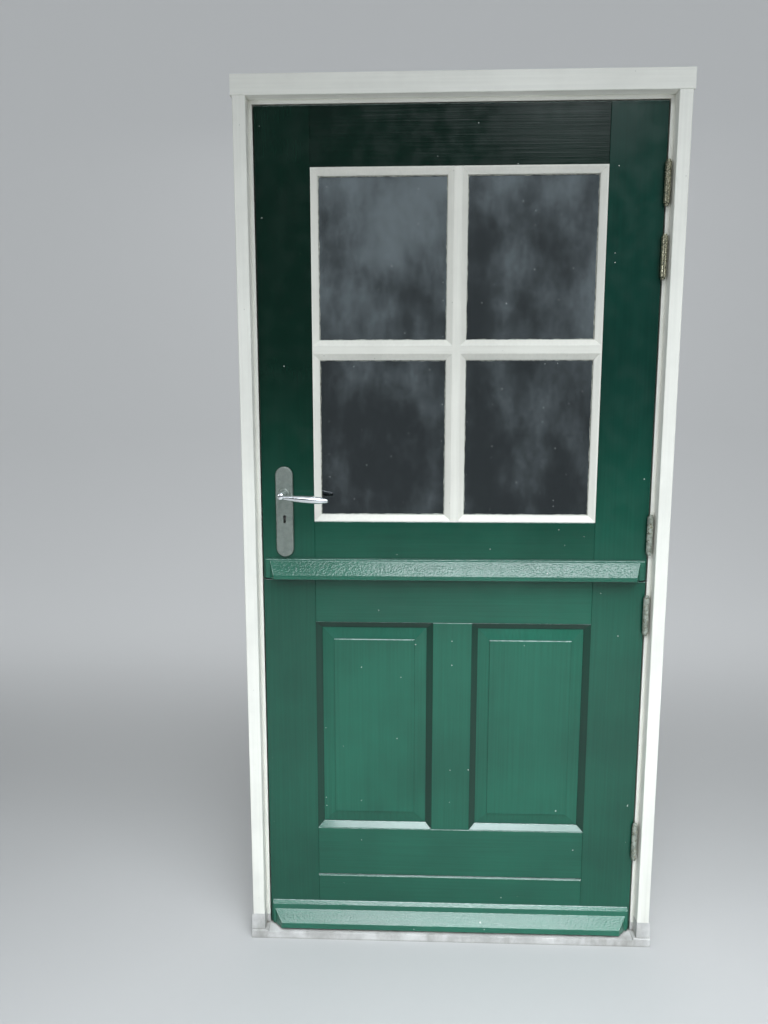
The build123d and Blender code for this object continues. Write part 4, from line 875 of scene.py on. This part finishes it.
def camera():
    """Camera at the photograph's place and angle."""
    data = bpy.data.cameras.new("camera")
    data.sensor_fit = "VERTICAL"
    data.sensor_height = SENSOR
    data.lens = FOCAL_PIXELS / PHOTO_HEIGHT * SENSOR
    data.clip_start = NEAR_CLIP
    seen_from = bpy.data.objects.new("camera", data)
    seen_from.location = CAMERA_PLACE
    seen_from.rotation_euler = (math.pi / 2 - CAMERA_PITCH, 0, CAMERA_YAW)
    scene.collection.objects.link(seen_from)
    scene.camera = seen_from


def paper_sweep():
    """Paper floor that bends up behind the door."""
    profile = [(FLOOR_FRONT, 0.0)]
    for step in range(SWEEP_STEPS + 1):
        turn = math.pi / 2 * step / SWEEP_STEPS
        y = FLOOR_BACK - SWEEP_BEND + SWEEP_BEND * math.sin(turn)
        profile.append((y, SWEEP_BEND - SWEEP_BEND * math.cos(turn)))
    profile.append((FLOOR_BACK, SWEEP_TOP))
    mesh = bpy.data.meshes.new("studio_sweep")
    points = [(x, y, z) for y, z in profile for x in (-FLOOR_SIDE, FLOOR_SIDE)]
    faces = [(2 * i, 2 * i + 1, 2 * i + 3, 2 * i + 2) for i in range(len(profile) - 1)]
    mesh.from_pydata(points, [], faces)
    mesh.materials.append(studio_paper())
    smooth(mesh)
    sweep = bpy.data.objects.new("studio_sweep", mesh)
    scene.collection.objects.link(sweep)


def softbox(name, place, aim, size, radiance, tint=LAMP_TINT, spread=180):
    """Soft area light that shines from one place towards another, within a spread in degrees."""
    data = bpy.data.lights.new(name, "AREA")
    data.shape = "RECTANGLE"
    data.size, data.size_y = size
    data.energy = radiance * math.pi * size[0] * size[1]
    data.color = tint
    data.spread = math.radians(spread)
    lamp = bpy.data.objects.new(name, data)
    lamp.location = place
    lamp.rotation_euler = (Vector(aim) - Vector(place)).to_track_quat("-Z", "Y").to_euler()
    scene.collection.objects.link(lamp)


def lamps():
    """Two lamps above, a strip for the mouldings' foot, one high in front, one on each side, one behind."""
    softbox("overhead_near", (0.65, -1.6, 3.0), (0.65, -1.6, 0.0), size=(2.0, 1.0), radiance=6.2, spread=130)
    softbox("overhead_far", (0.2, -3.25, 3.0), (0.2, -3.25, 0.0), size=(3.0, 2.3), radiance=5.6, spread=130)
    softbox("low_strip", (0.2, -2.2, 1.615), (0.06, 0.0, 0.295), size=(1.5, 0.34), radiance=1.15, spread=50)
    softbox("front_high", (1.4, -5.5, 4.2), (0.0, 0.0, 1.6), size=(1.2, 0.9), radiance=1.6)
    softbox("side_left", (-2.1, -1.9, 1.9), (0.0, 0.0, 1.5), size=(0.9, 0.9), radiance=5.2)
    softbox("side_right", (2.1, -1.9, 1.9), (0.0, 0.0, 1.5), size=(0.9, 0.9), radiance=3.6)
    softbox("rear_softbox", (0.0, 2.2, 3.9), (0.0, 0.0, 0.9), size=(2.4, 1.2), radiance=3.0, tint=WHITE)


def surround():
    """Even cool light from all round, stronger overhead."""
    world = bpy.data.worlds.new("studio")
    scene.world = world
    world.use_nodes = True
    tree = world.node_tree
    background = tree.nodes["Background"]
    background.inputs["Color"].default_value = (*LAMP_TINT, 1)
    direction = tree.nodes.new("ShaderNodeTexCoord").outputs["Generated"]
    split = tree.nodes.new("ShaderNodeSeparateXYZ")
    tree.links.new(direction, split.inputs[0])
    rise = tree.nodes.new("ShaderNodeMapRange")
    rise.interpolation_type = "SMOOTHSTEP"
    for socket, value in zip(("From Min", "From Max", "To Min", "To Max"), SKY_RISE + SKY_STRENGTHS):
        rise.inputs[socket].default_value = value
    tree.links.new(split.outputs["Z"], rise.inputs["Value"])
    tree.links.new(rise.outputs["Result"], background.inputs["Strength"])


camera()
paper_sweep()
lamps()
surround()
scene.view_settings.view_transform = "Standard"
